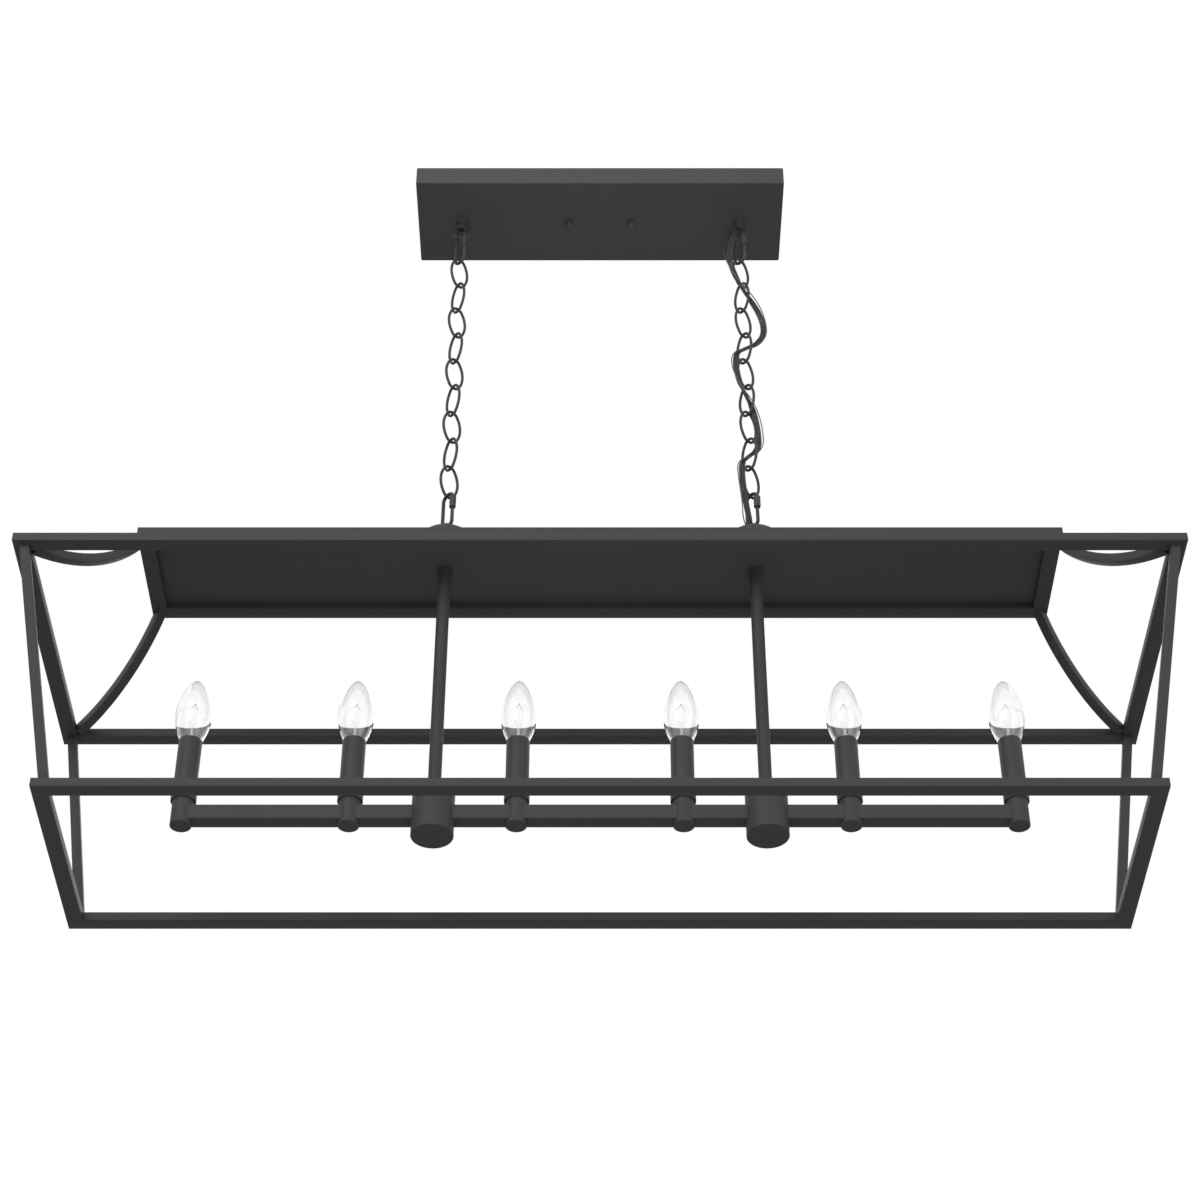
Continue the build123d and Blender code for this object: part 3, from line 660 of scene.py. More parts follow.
@dataclass
class Canopy:
    """The folded pan on the ceiling, its cap nuts, and the studs and wire connectors inside."""

    wall: float = 1.2 * MM
    corner: float = 2.0 * MM
    fold: float = 1.0 * MM
    nut_skirt: float = 3.0 * MM
    nut_crown: float = 4.5 * MM
    nut_tip: float = 0.5 * MM
    ease: float = 0.25 * MM
    rim: float = 0.3 * MM
    stud_radius: float = 2.0 * MM
    stud_inset: float = 4.0 * MM
    stud_pitch: float = 0.8 * MM
    stud_depth: float = 0.35 * MM
    stud_nut_half: float = 4.0 * MM
    stud_nut_height: float = 3.0 * MM
    connector_spacing: float = 16.0 * MM
    connector_ribs: int = 10
    connector_rib: float = 0.35 * MM
    connector_band: float = 0.32
    connector_taper: float = 0.4
    connector_mouth: tuple = ((0.0, 0.3), (0.55, 0.28), (0.6, 0.0))
    connector_tip: float = 0.45
    fade_in: float = 1.0 / 8.0
    fade_out: float = 1.0 / 6.0

    def build(self) -> None:
        """Builds the pan, cap nuts, studs and wire connectors."""
        self.pan()
        for side in SIDES:
            self.cap_nut(side)
        self.studs()
        self.connectors()

    def pan(self) -> None:
        """An open box of rounded rings, up the inside from its floor and down the outside."""
        box = Place("canopy_pan")
        turn = arc((0.0, 0.0), self.fold, 0.0, -90.0, 6)
        outer_in = self.fold - turn[:, 0]
        outer_z = box.low[2] + self.fold + turn[:, 1]
        floor = box.low[2] + self.wall
        top = box.high[2]
        inset = np.concatenate([[self.wall, self.wall, 0.25 * self.wall, 0.0], outer_in])
        height = np.concatenate([[floor, top, top, top - self.rim], outer_z])
        half = box.size / 2.0
        corner = np.maximum(self.corner - inset, self.rim)
        rings = rounded_box(half[0] - inset, half[1] - inset, corner, 6)
        heights = np.broadcast_to(height[:, None, None], rings.shape[:2] + (1,))
        grid = np.concatenate([rings, heights], axis=-1)
        make_piece("canopy_shell", [Surface(capped(grid))], SHEET, "canopy", ("canopy_pan",))

    def cap_nut(self, side: str) -> None:
        """A domed nut: a skirt, a waist and a quarter-round crown, turned about its own axis."""
        node = f"cap_nut_{side}"
        box = Place(node)
        skirt, ease, top = box.size[0] / 2.0, self.ease, box.high[2]
        crown = self.nut_crown - self.nut_tip
        profile = closed_profile(
            (0.0, top), (skirt - ease, top), (skirt, top - ease),
            arc((skirt - ease, top - self.nut_skirt + ease), ease, 0.0, -90.0, 4),
            (self.nut_crown, top - self.nut_skirt),
            arc((self.nut_tip, box.low[2] + crown), crown, 0.0, -90.0, 14),
            (0.0, box.low[2]),
        )
        grid = turned(profile, 40, box.axis)
        make_piece(f"acorn_nut_{side}", [Surface(grid)], HARDWARE, node, (node,))

    def studs(self) -> None:
        """Two studs with a helix of triangular ridges, and a hexagon nut under the strap."""
        box, strap = Place("strap_studs"), Place("mounting_strap")
        columns, steps = 20, 6
        height = np.arange(box.low[2], box.high[2], self.stud_pitch / steps)
        profile = upright(self.stud_radius, height)
        relief = -self.stud_depth * ridges(height, self.stud_pitch, columns)
        seat = strap.low[2]
        nut = (self.stud_nut_half, self.stud_radius, seat - self.stud_nut_height, seat)
        surfaces = []
        for way in (-1.0, 1.0):
            centre = (way * (box.high[0] - self.stud_inset), 0.0)
            surfaces.append(Surface(capped(turned(profile, columns, centre, relief))))
            surfaces.append(Surface(hexagon_nut(centre, *nut)))
        make_piece("threaded_studs", surfaces, ZINC, "canopy", ("strap_studs",))

    def connectors(self) -> None:
        """Three cones lying side by side, which narrow to the tip and are ribbed round it."""
        box = Place("wire_connectors")
        radius, length = box.size[2] / 2.0, box.size[0]
        columns, rows = 60, 25
        share = np.linspace(0.0, 1.0, rows)
        skirt = np.clip((share - self.connector_band) / (1.0 - self.connector_band), 0.0, 1.0)
        outside = radius - skirt * self.connector_taper * radius
        rib = self.connector_rib * triangle_wave(around(columns) / math.tau * self.connector_ribs)
        fade = np.minimum(np.minimum(share / self.fade_in, (1.0 - share) / self.fade_out), 1.0)
        profile = np.stack([outside, share * length], axis=-1)
        outer = turned(profile, columns, relief=-rib * fade[:, None])
        mouth = turned(np.array(self.connector_mouth) * [radius, length], columns)
        tip = turned(np.array([[self.connector_tip * radius, length], [0.0, length]]), columns)
        lying = np.concatenate([mouth, outer, tip])
        surfaces = []
        for step in (-1.0, 0.0, 1.0):
            x = box.high[0] - lying[..., 2]
            y = lying[..., 0] + step * self.connector_spacing
            z = lying[..., 1] + box.middle[2]
            surfaces.append(Surface(np.stack([x, y, z], axis=-1)))
        make_piece("twist_connectors", surfaces, CONNECTOR, "canopy", ("wire_connectors",))


# A nut's corners are cut back over this share of what they stick out past the flats, at this slope
CUT, CUT_SLOPE = 0.72, 2.0


def hexagon_nut(centre: tuple, half_flats: float, bore: float, low: float, high: float) -> Grid:
    """A hexagon ring whose corners are cut back by a cone at both faces.

    The outside is the smaller of the hexagon, half_flats / cos(angle from the nearest flat), and
    of a cone that narrows towards each face. Rows run up the outside and down the bore.

    Args:
        centre: the axis in plan.
        half_flats: half the width across flats.
        bore: the radius of the hole.
        low: height of the lower face.
        high: height of the upper face.

    Returns:
        A closed grid: its last row is its first again.
    """
    columns, half_side = 72, math.pi / 6.0
    flat = (around(columns) + half_side) % (2.0 * half_side) - half_side
    hexagon = half_flats / np.cos(flat)
    depth = half_flats / math.cos(half_side) - half_flats
    rise = np.linspace(0.0, CUT, 5) * depth
    height = np.concatenate([low + rise, high - rise[::-1]])
    cone = half_flats + np.concatenate([rise, rise[::-1]]) * CUT_SLOPE
    outside = np.minimum(hexagon, cone[:, None])
    outer = turned(upright(0.0, height), columns, centre, outside)
    inner = turned(np.array([[bore, high], [bore, low]]), columns, centre)
    return np.concatenate([outer, inner, outer[:1]])


# --- Loops, quick links and chains ----------------------------------------------------------------


@dataclass
class Loop:
    """A wire ring on a hollow screw collar, with its shank pointing up or down."""

    node: str
    body: str
    way: int
    wire: float = 3.3 * MM
    collar: float = 12.4 * MM
    lip: float = 1.6 * MM
    shank: float = 9.5 * MM
    shank_length: float = 11.0 * MM
    bore: float = 6.4 * MM
    pitch: float = 1.0 * MM
    ring_above_collar: float = 3.65 * MM
    ease: float = 0.5 * MM
    flute: float = 0.18 * MM
    flutes: int = 24
    ridge: float = 0.4 * MM

    def build(self) -> None:
        """Builds the ring and the collar with its lip, flutes and threaded shank."""
        box = Place(self.node)
        ring_radius = (box.size[0] - self.wire) / 2.0
        ring_end = box.low[2] if self.way > 0 else box.high[2]
        tip = box.high[2] if self.way > 0 else box.low[2]
        centre = ring_end + self.way * (ring_radius + self.wire / 2.0)
        path = arc((0.0, 0.0), ring_radius, 0.0, 360.0, 97)[:-1]
        ring = flat_tube(path, self.wire / 2.0, 20, closed=True) + [box.middle[0], 0.0, centre]
        face = centre + self.way * self.ring_above_collar
        seat = tip - self.way * self.shank_length
        grid = self.collar_grid(box, face, seat, tip)
        name = self.node.replace("loop", "hang_loop")
        surfaces = [Surface(ring, True), Surface(grid, True)]
        make_piece(name, surfaces, HARDWARE, self.body, (self.node,))

    def collar_grid(self, box: Place, face: float, seat: float, tip: float) -> Grid:
        """The collar, turned: out from the bore, along the body, round the lip, up the thread.

        The flutes take waves off the radius, and the thread's ridges climb one pitch a turn. The
        rows close on themselves through the bore.

        Args:
            box: where the loop lies.
            face: height of the collar's face towards the ring.
            seat: height of the lip's seat, where the thread starts.
            tip: height of the thread's end.

        Returns:
            A grid of rows by columns by 3.
        """
        body, lip, shank, bore = np.array([self.collar, box.size[1], self.shank, self.bore]) / 2.0
        ease, way = self.ease, self.way
        start = closed_profile(
            (bore, face), (body - 1.4 * ease, face),
            (body - 0.4 * ease, face + 0.4 * way * ease), (body, face + 1.4 * way * ease),
        )
        grip_rows, plain = 12, 2
        first, last = face + 2.0 * way * ease, seat - way * (self.lip + ease)
        grip = upright(body, np.linspace(first, last, grip_rows))
        edge = closed_profile(
            (lip - 0.5 * ease, seat - way * self.lip), (lip, seat - way * (self.lip - 0.5 * ease)),
            (lip, seat - way * 0.4 * ease), (lip - 0.4 * ease, seat), (shank, seat),
        )
        steps = int(self.shank_length / self.pitch * 6)
        thread = upright(shank, np.linspace(seat, tip, steps))
        profile = np.concatenate([start, grip, edge, thread, closed_profile((bore, tip))])
        columns = 48
        relief = np.zeros((len(profile), columns))
        fluted = slice(len(start) + plain, len(start) + grip_rows - plain)
        relief[fluted] = -self.flute * triangle_wave(around(columns) / math.tau * self.flutes)
        relief[-steps - 1:-1] = -self.ridge * ridges(thread[:, 1], self.pitch, columns)
        return turned(profile, columns, box.axis, relief)


@dataclass
class QuickLink:
    """A bent rod with threaded ends and the hexagon sleeve that closes it."""

    level: str
    side: str
    rod: float = 3.8 * MM
    width: float = 14.2 * MM
    angle: float = -45.0
    gap: float = 8.0 * MM
    gap_start: float = 3.2 * MM
    thread: float = 5.2 * MM
    pitch: float = 0.7 * MM
    sleeve_flats: float = 6.2 * MM
    running_gap: float = 0.1 * MM
    ridge: float = 0.25 * MM

    def build(self) -> None:
        """Builds the rod and its sleeve."""
        place = f"{self.level}_{self.side}"
        node = f"quick_link_{place}"
        box = Place(node)
        centre = (box.middle[0], 0.0, 0.0)
        rod = placed(self.rod_grid(box), self.angle, centre)
        make_piece(f"bent_rod_{place}", [Surface(capped(rod))], HARDWARE, node, (node,))
        sleeve_node = f"quick_link_sleeve_{place}"
        sleeve = Place(sleeve_node)
        bore = self.rod / 2.0 + self.running_gap
        half, low, high = self.sleeve_flats / 2.0, sleeve.low[2], sleeve.high[2]
        grid = hexagon_nut((0.0, 0.0), half, bore, low, high)
        grid = [Surface(placed(grid, self.angle, (*sleeve.axis, 0.0)))]
        make_piece(f"hex_sleeve_{place}", grid, HARDWARE, f"sleeve_{place}", (sleeve_node,))

    def rod_grid(self, box: Place) -> Grid:
        """The rod, from one side of the opening round both bends to the other side of it.

        The path is straight legs joined by half circles. Near each end the radius dips by the depth
        of a thread whose ridges climb one pitch a turn.
        """
        bend = self.width / 2.0
        high = box.high[2] - self.rod / 2.0 - bend
        low = box.low[2] + self.rod / 2.0 + bend
        top, bottom = high - self.gap_start, high - self.gap_start - self.gap
        lower = np.linspace(bottom, bottom - self.thread, 60)
        upper = np.linspace(high, top, 40)[1:]
        path = np.concatenate([
            upright(bend, lower),
            arc((0.0, low), bend, 0.0, -180.0, 33),
            arc((0.0, high), bend, 180.0, 0.0, 33),
            upright(bend, upper),
        ])
        reach = arc_lengths(path)
        columns = 20
        cut = (reach < self.thread) | (reach[-1] - reach < self.gap_start - self.running_gap)
        radius = self.rod / 2.0 - self.ridge * cut[:, None] * ridges(reach, self.pitch, columns)
        return flat_tube(path, radius, columns)


@dataclass
class Chain:
    """Nine welded oval links, each turned a quarter from the last."""

    side: str
    wire: float = 3.0 * MM
    width: float = 21.6 * MM
    length: float = 42.4 * MM
    end_radius: float = 6.6 * MM
    count: int = 9
    angle: float = 40.0
    weld_width: float = 1.1 * MM
    weld_height: float = 0.07 * MM
    groove_depth: float = 0.154 * MM
    groove_width: float = 0.22 * MM

    def build(self) -> None:
        """Builds the links of one side as one piece."""
        node = f"chain_{self.side}"
        box = Place(node)
        first = box.high[2] - (self.length + self.wire) / 2.0
        last = box.low[2] + (self.length + self.wire) / 2.0
        link = self.link()
        surfaces = []
        for number, height in enumerate(np.linspace(first, last, self.count)):
            angle = self.angle - number % 2 * 90.0
            surfaces.append(Surface(placed(link, angle, (box.middle[0], 0.0, height)), True))
        make_piece(f"chain_links_{self.side}", surfaces, HARDWARE, node, (node,))

    def link(self) -> Grid:
        """One link: a wire carried round two end arcs and two flatter side arcs, with a weld bead.

        The side arc's radius is the one at which both kinds of arc meet without a corner. The bead
        is a bell curve in the wire's radius at the middle of one side, less a narrow one for the
        groove in it.
        """
        half, end = self.width / 2.0, self.length / 2.0 - self.end_radius
        side = (half**2 + end**2 - self.end_radius**2) / (half - self.end_radius) / 2.0
        centre = side - half
        turn = math.degrees(math.atan2(end, centre))
        path = np.concatenate([
            arc((-centre, 0.0), side, -turn, turn, 41)[:-1],
            arc((0.0, end), self.end_radius, turn, 180.0 - turn, 25)[:-1],
            arc((centre, 0.0), side, 180.0 - turn, 180.0 + turn, 41)[:-1],
            arc((0.0, -end), self.end_radius, 180.0 + turn, 360.0 - turn, 25)[:-1],
        ])
        away = np.abs(path[:, 1]) + (path[:, 0] > 0.0)
        bead = self.weld_height * np.exp(-((away / self.weld_width) ** 2))
        groove = self.groove_depth * np.exp(-((away / self.groove_width) ** 2))
        columns = 16
        radius = np.broadcast_to((self.wire / 2.0 + bead - groove)[:, None], (len(path), columns))
        return flat_tube(path, radius, columns, closed=True)


# --- Cords ----------------------------------------------------------------------------------------

# Each point is how far it is to the right of the chain and behind it, and its height, in mm.
CORD_ROUTE = (
    (0.0, -0.6, -13.0), (0.1, -0.7, -22.0), (0.0, -0.5, -30.0), (0.0, -0.6, -36.6),
    (-0.3, -1.1, -40.2), (-1.7, -3.6, -43.2), (-3.6, -6.8, -47.8), (-6.2, -9.2, -57.0),
    (-10.4, -11.8, -73.0), (-12.6, -13.2, -90.0), (-11.8, -13.4, -107.0), (-7.4, -12.0, -124.0),
    (1.0, -6.0, -141.5), (11.4, -0.8, -157.0), (19.0, 0.4, -175.0), (22.4, 1.2, -194.0),
    (20.4, 0.8, -208.6), (13.0, 0.0, -219.6), (1.6, -1.0, -227.6), (-7.4, -4.2, -236.0),
    (-10.6, -8.6, -249.0), (-10.6, -11.4, -267.0), (-8.0, -11.0, -286.0), (-1.8, -6.0, -302.0),
    (5.8, -0.8, -318.0), (8.8, 0.0, -336.0), (10.4, 0.8, -355.0), (10.2, 0.8, -370.0),
    (5.2, 0.2, -379.6), (-2.6, -1.4, -388.0), (-7.8, -5.4, -398.0), (-9.6, -11.4, -412.0),
    (-9.2, -11.8, -431.0), (-8.0, -11.4, -449.0), (-6.2, -10.6, -465.0), (-4.6, -8.8, -476.0),
    (-3.2, -6.6, -482.2), (-1.7, -3.5, -486.6), (-0.3, -1.0, -489.6), (0.0, -0.6, -493.8),
    (0.1, -0.7, -501.6), (0.0, -0.5, -511.5),
)
GROUND_ROUTE = (
    (-0.9, 2.3, -13.0), (-0.8, 2.4, -22.0), (-1.0, 2.3, -30.0), (-0.9, 2.4, -36.8),
    (-2.4, 1.5, -40.4), (-5.4, -1.6, -43.2), (-9.4, -5.0, -48.6), (-14.0, -9.0, -58.0),
    (-18.4, -12.6, -73.0), (-19.4, -15.4, -90.0), (-16.4, -17.0, -107.0), (-10.4, -17.2, -124.0),
    (-0.6, -14.8, -141.0), (11.4, -12.0, -157.0), (20.8, -7.4, -175.0), (25.0, -3.6, -194.0),
    (24.4, -2.4, -210.0), (15.4, -1.6, -223.6), (2.4, -4.4, -231.6), (-9.0, -8.6, -237.0),
    (-15.4, -11.6, -250.0), (-15.2, -14.0, -267.0), (-10.8, -15.2, -286.0), (-3.0, -13.6, -302.0),
    (6.0, -12.2, -318.0), (12.4, -7.4, -336.0), (15.0, -3.8, -355.0), (15.2, -2.2, -371.0),
    (8.0, -3.0, -384.0), (-2.4, -6.0, -391.0), (-11.0, -8.6, -398.0), (-14.2, -13.0, -411.0),
    (-13.4, -14.8, -430.0), (-11.8, -15.0, -449.0), (-10.6, -13.6, -465.0), (-10.6, -10.2, -475.0),
    (-8.8, -5.6, -482.0), (-5.4, -1.6, -486.6), (-2.4, 1.5, -489.4), (-0.9, 2.4, -493.0),
    (-0.8, 2.3, -501.0), (-1.0, 2.4, -511.5),
)

# Heights where the cord is squeezed: in the loops' bores and where it passes through a link, in mm.
SQUEEZES = (-13.0, -36.0, -141.5, -227.6, -302.0, -388.0, -490.0, -511.5)


@dataclass(frozen=True)
class Stretch:
    """A stretch of the cord between two heights, and how it follows the bodies there."""

    name: str
    high: float
    low: float
    bodies: tuple
    bend_high: float = 0.0
    bend_low: float = 0.0


STRETCHES = (
    Stretch("at_canopy", 1.0, -0.070, ("canopy", "quick_link_top_right"), -0.042, -0.062),
    Stretch("upper", -0.070, -0.130, ("quick_link_top_right", "chain_right"), -0.078, -0.112),
    Stretch("middle", -0.130, -0.405, ("chain_right",)),
    Stretch("lower", -0.405, -0.462, ("chain_right", "quick_link_bottom_right"), -0.420, -0.455),
    Stretch("at_lantern", -0.462, -1.0, ("quick_link_bottom_left", "lantern"), -0.468, -0.490),
)


@dataclass
class Cord:
    """A flexible line beside the right chain, made in stretches that meet where the joints are."""

    name: str
    node: str
    route: tuple
    diameter: float
    strands: int
    finish: object
    stiffness: str
    wave: float = 90.0 * MM
    lean: float = -14.0
    squeeze: float = 5.0 * MM
    fade: float = 13.0 * MM
    columns: int = 12

    def build(self) -> None:
        """Reads the route's spline and builds a tube, or three strands, for each stretch."""
        line = self.centre_line()
        reach = arc_lengths(line)
        beside, above = framed(line, (0.0, 1.0, 0.0))
        for stretch in STRETCHES:
            inside = np.flatnonzero((line[:, 2] <= stretch.high) & (line[:, 2] >= stretch.low))
            rows = slice(max(inside[0] - 1, 0), inside[-1] + 1)
            surfaces = self.surfaces(line[rows], beside[rows], above[rows], reach[rows])
            self.place(stretch, surfaces, line[rows], reach[rows])

    def centre_line(self) -> Grid:
        """Points of the route's smooth spline, whose control points are the route's own."""
        curve = bpy.data.curves.new(self.name, "CURVE")
        curve.dimensions = "3D"
        curve.resolution_u = 12
        spline = curve.splines.new("NURBS")
        spline.points.add(len(self.route) - 1)
        chain = Place("chain_right").middle[0]
        points = np.array(self.route) * MM + [chain, 0.0, 0.0]
        spline.points.foreach_set("co", np.column_stack([points, np.ones(len(points))]).ravel())
        spline.order_u = 3
        spline.use_endpoint_u = True
        holder = bpy.data.objects.new(self.name, curve)
        bpy.context.scene.collection.objects.link(holder)
        bpy.context.view_layer.update()
        mesh = bpy.data.meshes.new_from_object(holder)
        line = np.zeros(len(mesh.vertices) * 3)
        mesh.vertices.foreach_get("co", line)
        bpy.data.objects.remove(holder)
        bpy.data.meshes.remove(mesh)
        return line.reshape(-1, 3)

    def flatness(self, height: Grid) -> Grid:
        """The strands' share of a flat row: 0 where the cord is squeezed and 1 in between."""
        near = np.abs(height[:, None] - np.array(SQUEEZES) * MM).min(axis=1)
        share = np.clip((near - self.squeeze) / self.fade, 0.0, 1.0)
        return share**2 * (3.0 - 2.0 * share)

    def surfaces(self, line: Grid, beside: Grid, above: Grid, reach: Grid) -> list:
        """The strands of one stretch, each a tube beside the line.

        Three strands lie in a triangle where the cord is squeezed and in a flat row elsewhere, and
        the row leans to and fro along the cord. With s the share of the row and r a strand's
        radius, their centres are (-1 - s, (s - 1) / q), (0, (2 - 2 s) / q) and (1 + s, (s - 1) / q)
        times r / sqrt(1 - s + s^2), where q is sqrt(3), which keeps neighbours in touch.

        Args:
            line: the stretch's middle line.
            beside: the section's x axis at each of its points.
            above: the section's y axis there.
            reach: the distance along the cord there.

        Returns:
            A closed surface for each strand.
        """
        if self.strands == 1:
            section = circle(self.diameter / 2.0, self.columns)
            return [Surface(capped(carried(line, beside, above, section)))]
        spread = 2.0 / math.sqrt(3.0)
        radius = self.diameter / 2.0 / (1.0 + spread)
        share = self.flatness(line[:, 2])
        scale = radius / np.sqrt(1.0 - share + share**2)
        lean = math.radians(self.lean) * np.cos(math.tau * reach / self.wave)
        surfaces = []
        for way, lift in ((-1.0, -0.5), (0.0, 1.0), (1.0, -0.5)):
            across = scale * way * (1.0 + share)
            upward = scale * lift * spread * (1.0 - share)
            sideways = across * np.cos(lean) - upward * np.sin(lean)
            raised = across * np.sin(lean) + upward * np.cos(lean)
            section = circle(radius, self.columns) + np.stack([sideways, raised], axis=-1)[:, None]
            surfaces.append(Surface(capped(carried(line, beside, above, section))))
        return surfaces

    def place(self, stretch: Stretch, surfaces: list, line: Grid, reach: Grid) -> None:
        body = stretch.bodies[0] if len(stretch.bodies) == 1 else None
        piece = make_piece(f"{self.name}_{stretch.name}", surfaces, self.finish, body, (self.node,))
        if body is None:
            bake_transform(piece)
        float(reach[-1] - reach[0])


# --- Splice cups, frame and light bar -------------------------------------------------------------


@dataclass
class SpliceCup:
    """A drawn cup, open below, that hides the wires between a loop and a stem."""

    side: str
    wall: float = 1.2 * MM
    round: float = 10.0 * MM
    hole: float = 4.85 * MM
    ease: float = 0.3 * MM
    rim: float = 0.2 * MM

    def build(self) -> None:
        """Turns the cup: up the outside, over the shoulder, through the hole, down the inside."""
        node = f"splice_cup_{self.side}"
        box = Place(node)
        outer, inner = box.size[0] / 2.0, box.size[0] / 2.0 - self.wall
        low, top, bend = box.low[2], box.high[2], self.round - self.wall
        centre = (outer - self.round, top - self.round)
        profile = closed_profile(
            (outer - self.rim, low), (outer, low + self.ease),
            arc(centre, self.round, 0.0, 90.0, 22),
            (self.hole + self.ease, top), (self.hole, top - self.ease),
            (self.hole, top - self.wall),
            arc(centre, bend, 90.0, 0.0, 22), (inner, low),
        )
        grid = turned(profile, 96, box.axis)
        make_piece(f"wiring_cup_{self.side}", [Surface(grid, True)], SHEET, "lantern", (node,))


@dataclass
class Bars:
    """The lantern's straight and bent bars."""

    width: float = 15.2 * MM
    edge: float = 0.6 * MM
    arm_radius: float = 165.0 * MM
    arm_side: float = 9.3 * MM
    post_side: float = 9.4 * MM
    post_inset: float = 5.8 * MM
    end_ease: float = 0.3 * MM

    def build(self) -> None:
        """Builds the tray's rails, both rings, the arms, the posts and the light bar."""
        for name, kind in (("tray", "rails"), ("upper_ring", "bars"), ("lower_ring", "bars")):
            self.rectangle(name, kind)
        self.arms()
        self.posts()
        self.light_bar()

    def rectangle(self, name: str, kind: str) -> None:
        """Four mitred bars of a rectangle, as a long pair and an end pair.

        At a corner a point of the section lies at (middle + across) out from the centre in both X
        and Y, which is what puts it in the mitre's plane.
        """
        long_node, end_node = f"{name}_long_{kind}", f"{name}_end_{kind}"
        box = Place(long_node)
        middle = box.size[:2] / 2.0 - self.width / 2.0
        section = rounded_box(self.width / 2.0, box.size[2] / 2.0, self.edge, 4)[0]
        reach = middle + section[:, :1]
        corner = np.column_stack([reach, box.middle[2] + section[:, 1]])
        long_bars, end_bars = [], []
        for way in (-1.0, 1.0):
            long_bars.append(np.stack([corner * [-1, way, 1], corner * [1, way, 1]]))
            end_bars.append(np.stack([corner * [way, -1, 1], corner * [way, 1, 1]]))
        for node, bars in ((long_node, long_bars), (end_node, end_bars)):
            surfaces = [Surface(capped(bar)) for bar in bars]
            make_piece(f"{node}_tube", surfaces, BAR, "lantern", (node,))

    def square(self, side: float) -> Grid:
        """The section of a square bar with slightly round edges."""
        return rounded_box(side / 2.0, side / 2.0, self.edge / 2.0, 4)[0]

    def arms(self) -> None:
        """Four bent arms from the upper ring's inner corners to the tray's underside.

        Every fibre of the square bar is an arc about one centre. It starts where it meets the
        ring's inner faces and stops at the tray's underside, so the grid's rows share out each
        fibre's own angles.
        """
        ring, tray = Place("upper_ring_long_bars"), Place("tray_long_rails")
        half = self.width / 2.0
        foot = np.array([ring.high[0] - self.width, ring.high[1] - self.width, ring.middle[2]])
        head = np.array([tray.high[0] - half, tray.high[1] - half, tray.low[2]])
        run, lift = math.hypot(*(head - foot)[:2]), head[2] - foot[2]
        heading = math.atan2(head[1] - foot[1], head[0] - foot[0])
        half_turn = math.asin(math.hypot(run, lift) / 2.0 / self.arm_radius)
        start = math.atan2(lift, run) - half_turn
        centre = (-self.arm_radius * math.sin(start), self.arm_radius * math.cos(start))
        section = self.square(self.arm_side)
        fibre, beside = self.arm_radius + section[:, 0], section[:, 1]
        meets = np.maximum(beside * math.tan(heading), -beside / math.tan(heading))
        first = -np.arccos((meets - centre[0]) / fibre)
        last = np.arcsin((lift - centre[1]) / fibre)
        angle = first + (last - first) * np.linspace(0.0, 1.0, 29)[:, None]
        out = centre[0] + fibre * np.cos(angle)
        up = centre[1] + fibre * np.sin(angle)
        x = foot[0] + out * math.cos(heading) - beside * math.sin(heading)
        y = foot[1] + out * math.sin(heading) + beside * math.cos(heading)
        arm = capped(np.stack([x, y, foot[2] + up], axis=-1))
        surfaces = [Surface(arm * corner) for corner in CORNERS]
        make_piece("bent_arms", surfaces, BAR, "lantern", ("roof_arms",))

    def posts(self) -> None:
        """Four leaning posts: a square carried straight from the lower ring to the upper one."""
        lower, upper = Place("lower_ring_long_bars"), Place("upper_ring_long_bars")
        inset = self.post_inset + self.post_side / 2.0
        ends = [np.array([box.high[0] - inset, box.high[1] - inset, z])
                for box, z in ((lower, lower.high[2]), (upper, upper.low[2]))]
        section = self.square(self.post_side)
        share = np.linspace(0.0, 1.0, 9)[:, None]
        path = ends[0] + share * (ends[1] - ends[0])
        across = np.broadcast_to([1.0, 0.0, 0.0], path.shape)
        behind = np.broadcast_to([0.0, 1.0, 0.0], path.shape)
        post = capped(carried(path, across, behind, section))
        surfaces = [Surface(post * corner) for corner in CORNERS]
        make_piece("leaning_posts", surfaces, BAR, "lantern", ("corner_posts",))

    def light_bar(self) -> None:
        """The square bar under the candles, closed at both ends."""
        box = Place("light_bar")
        half, ease = box.size[1] / 2.0, self.end_ease
        inset = np.array([ease, 0.0, 0.0, ease])
        x = np.array([box.low[0], box.low[0] + ease, box.high[0] - ease, box.high[0]])
        rings = rounded_box(half - inset, half - inset, np.full(4, self.edge), 4)
        along_x = np.broadcast_to(x[:, None], rings.shape[:2])
        grid = np.stack([along_x, rings[..., 0], rings[..., 1] + box.middle[2]], axis=-1)
        make_piece("candle_bar", [Surface(capped(grid))], BAR, "lantern", ("light_bar",))


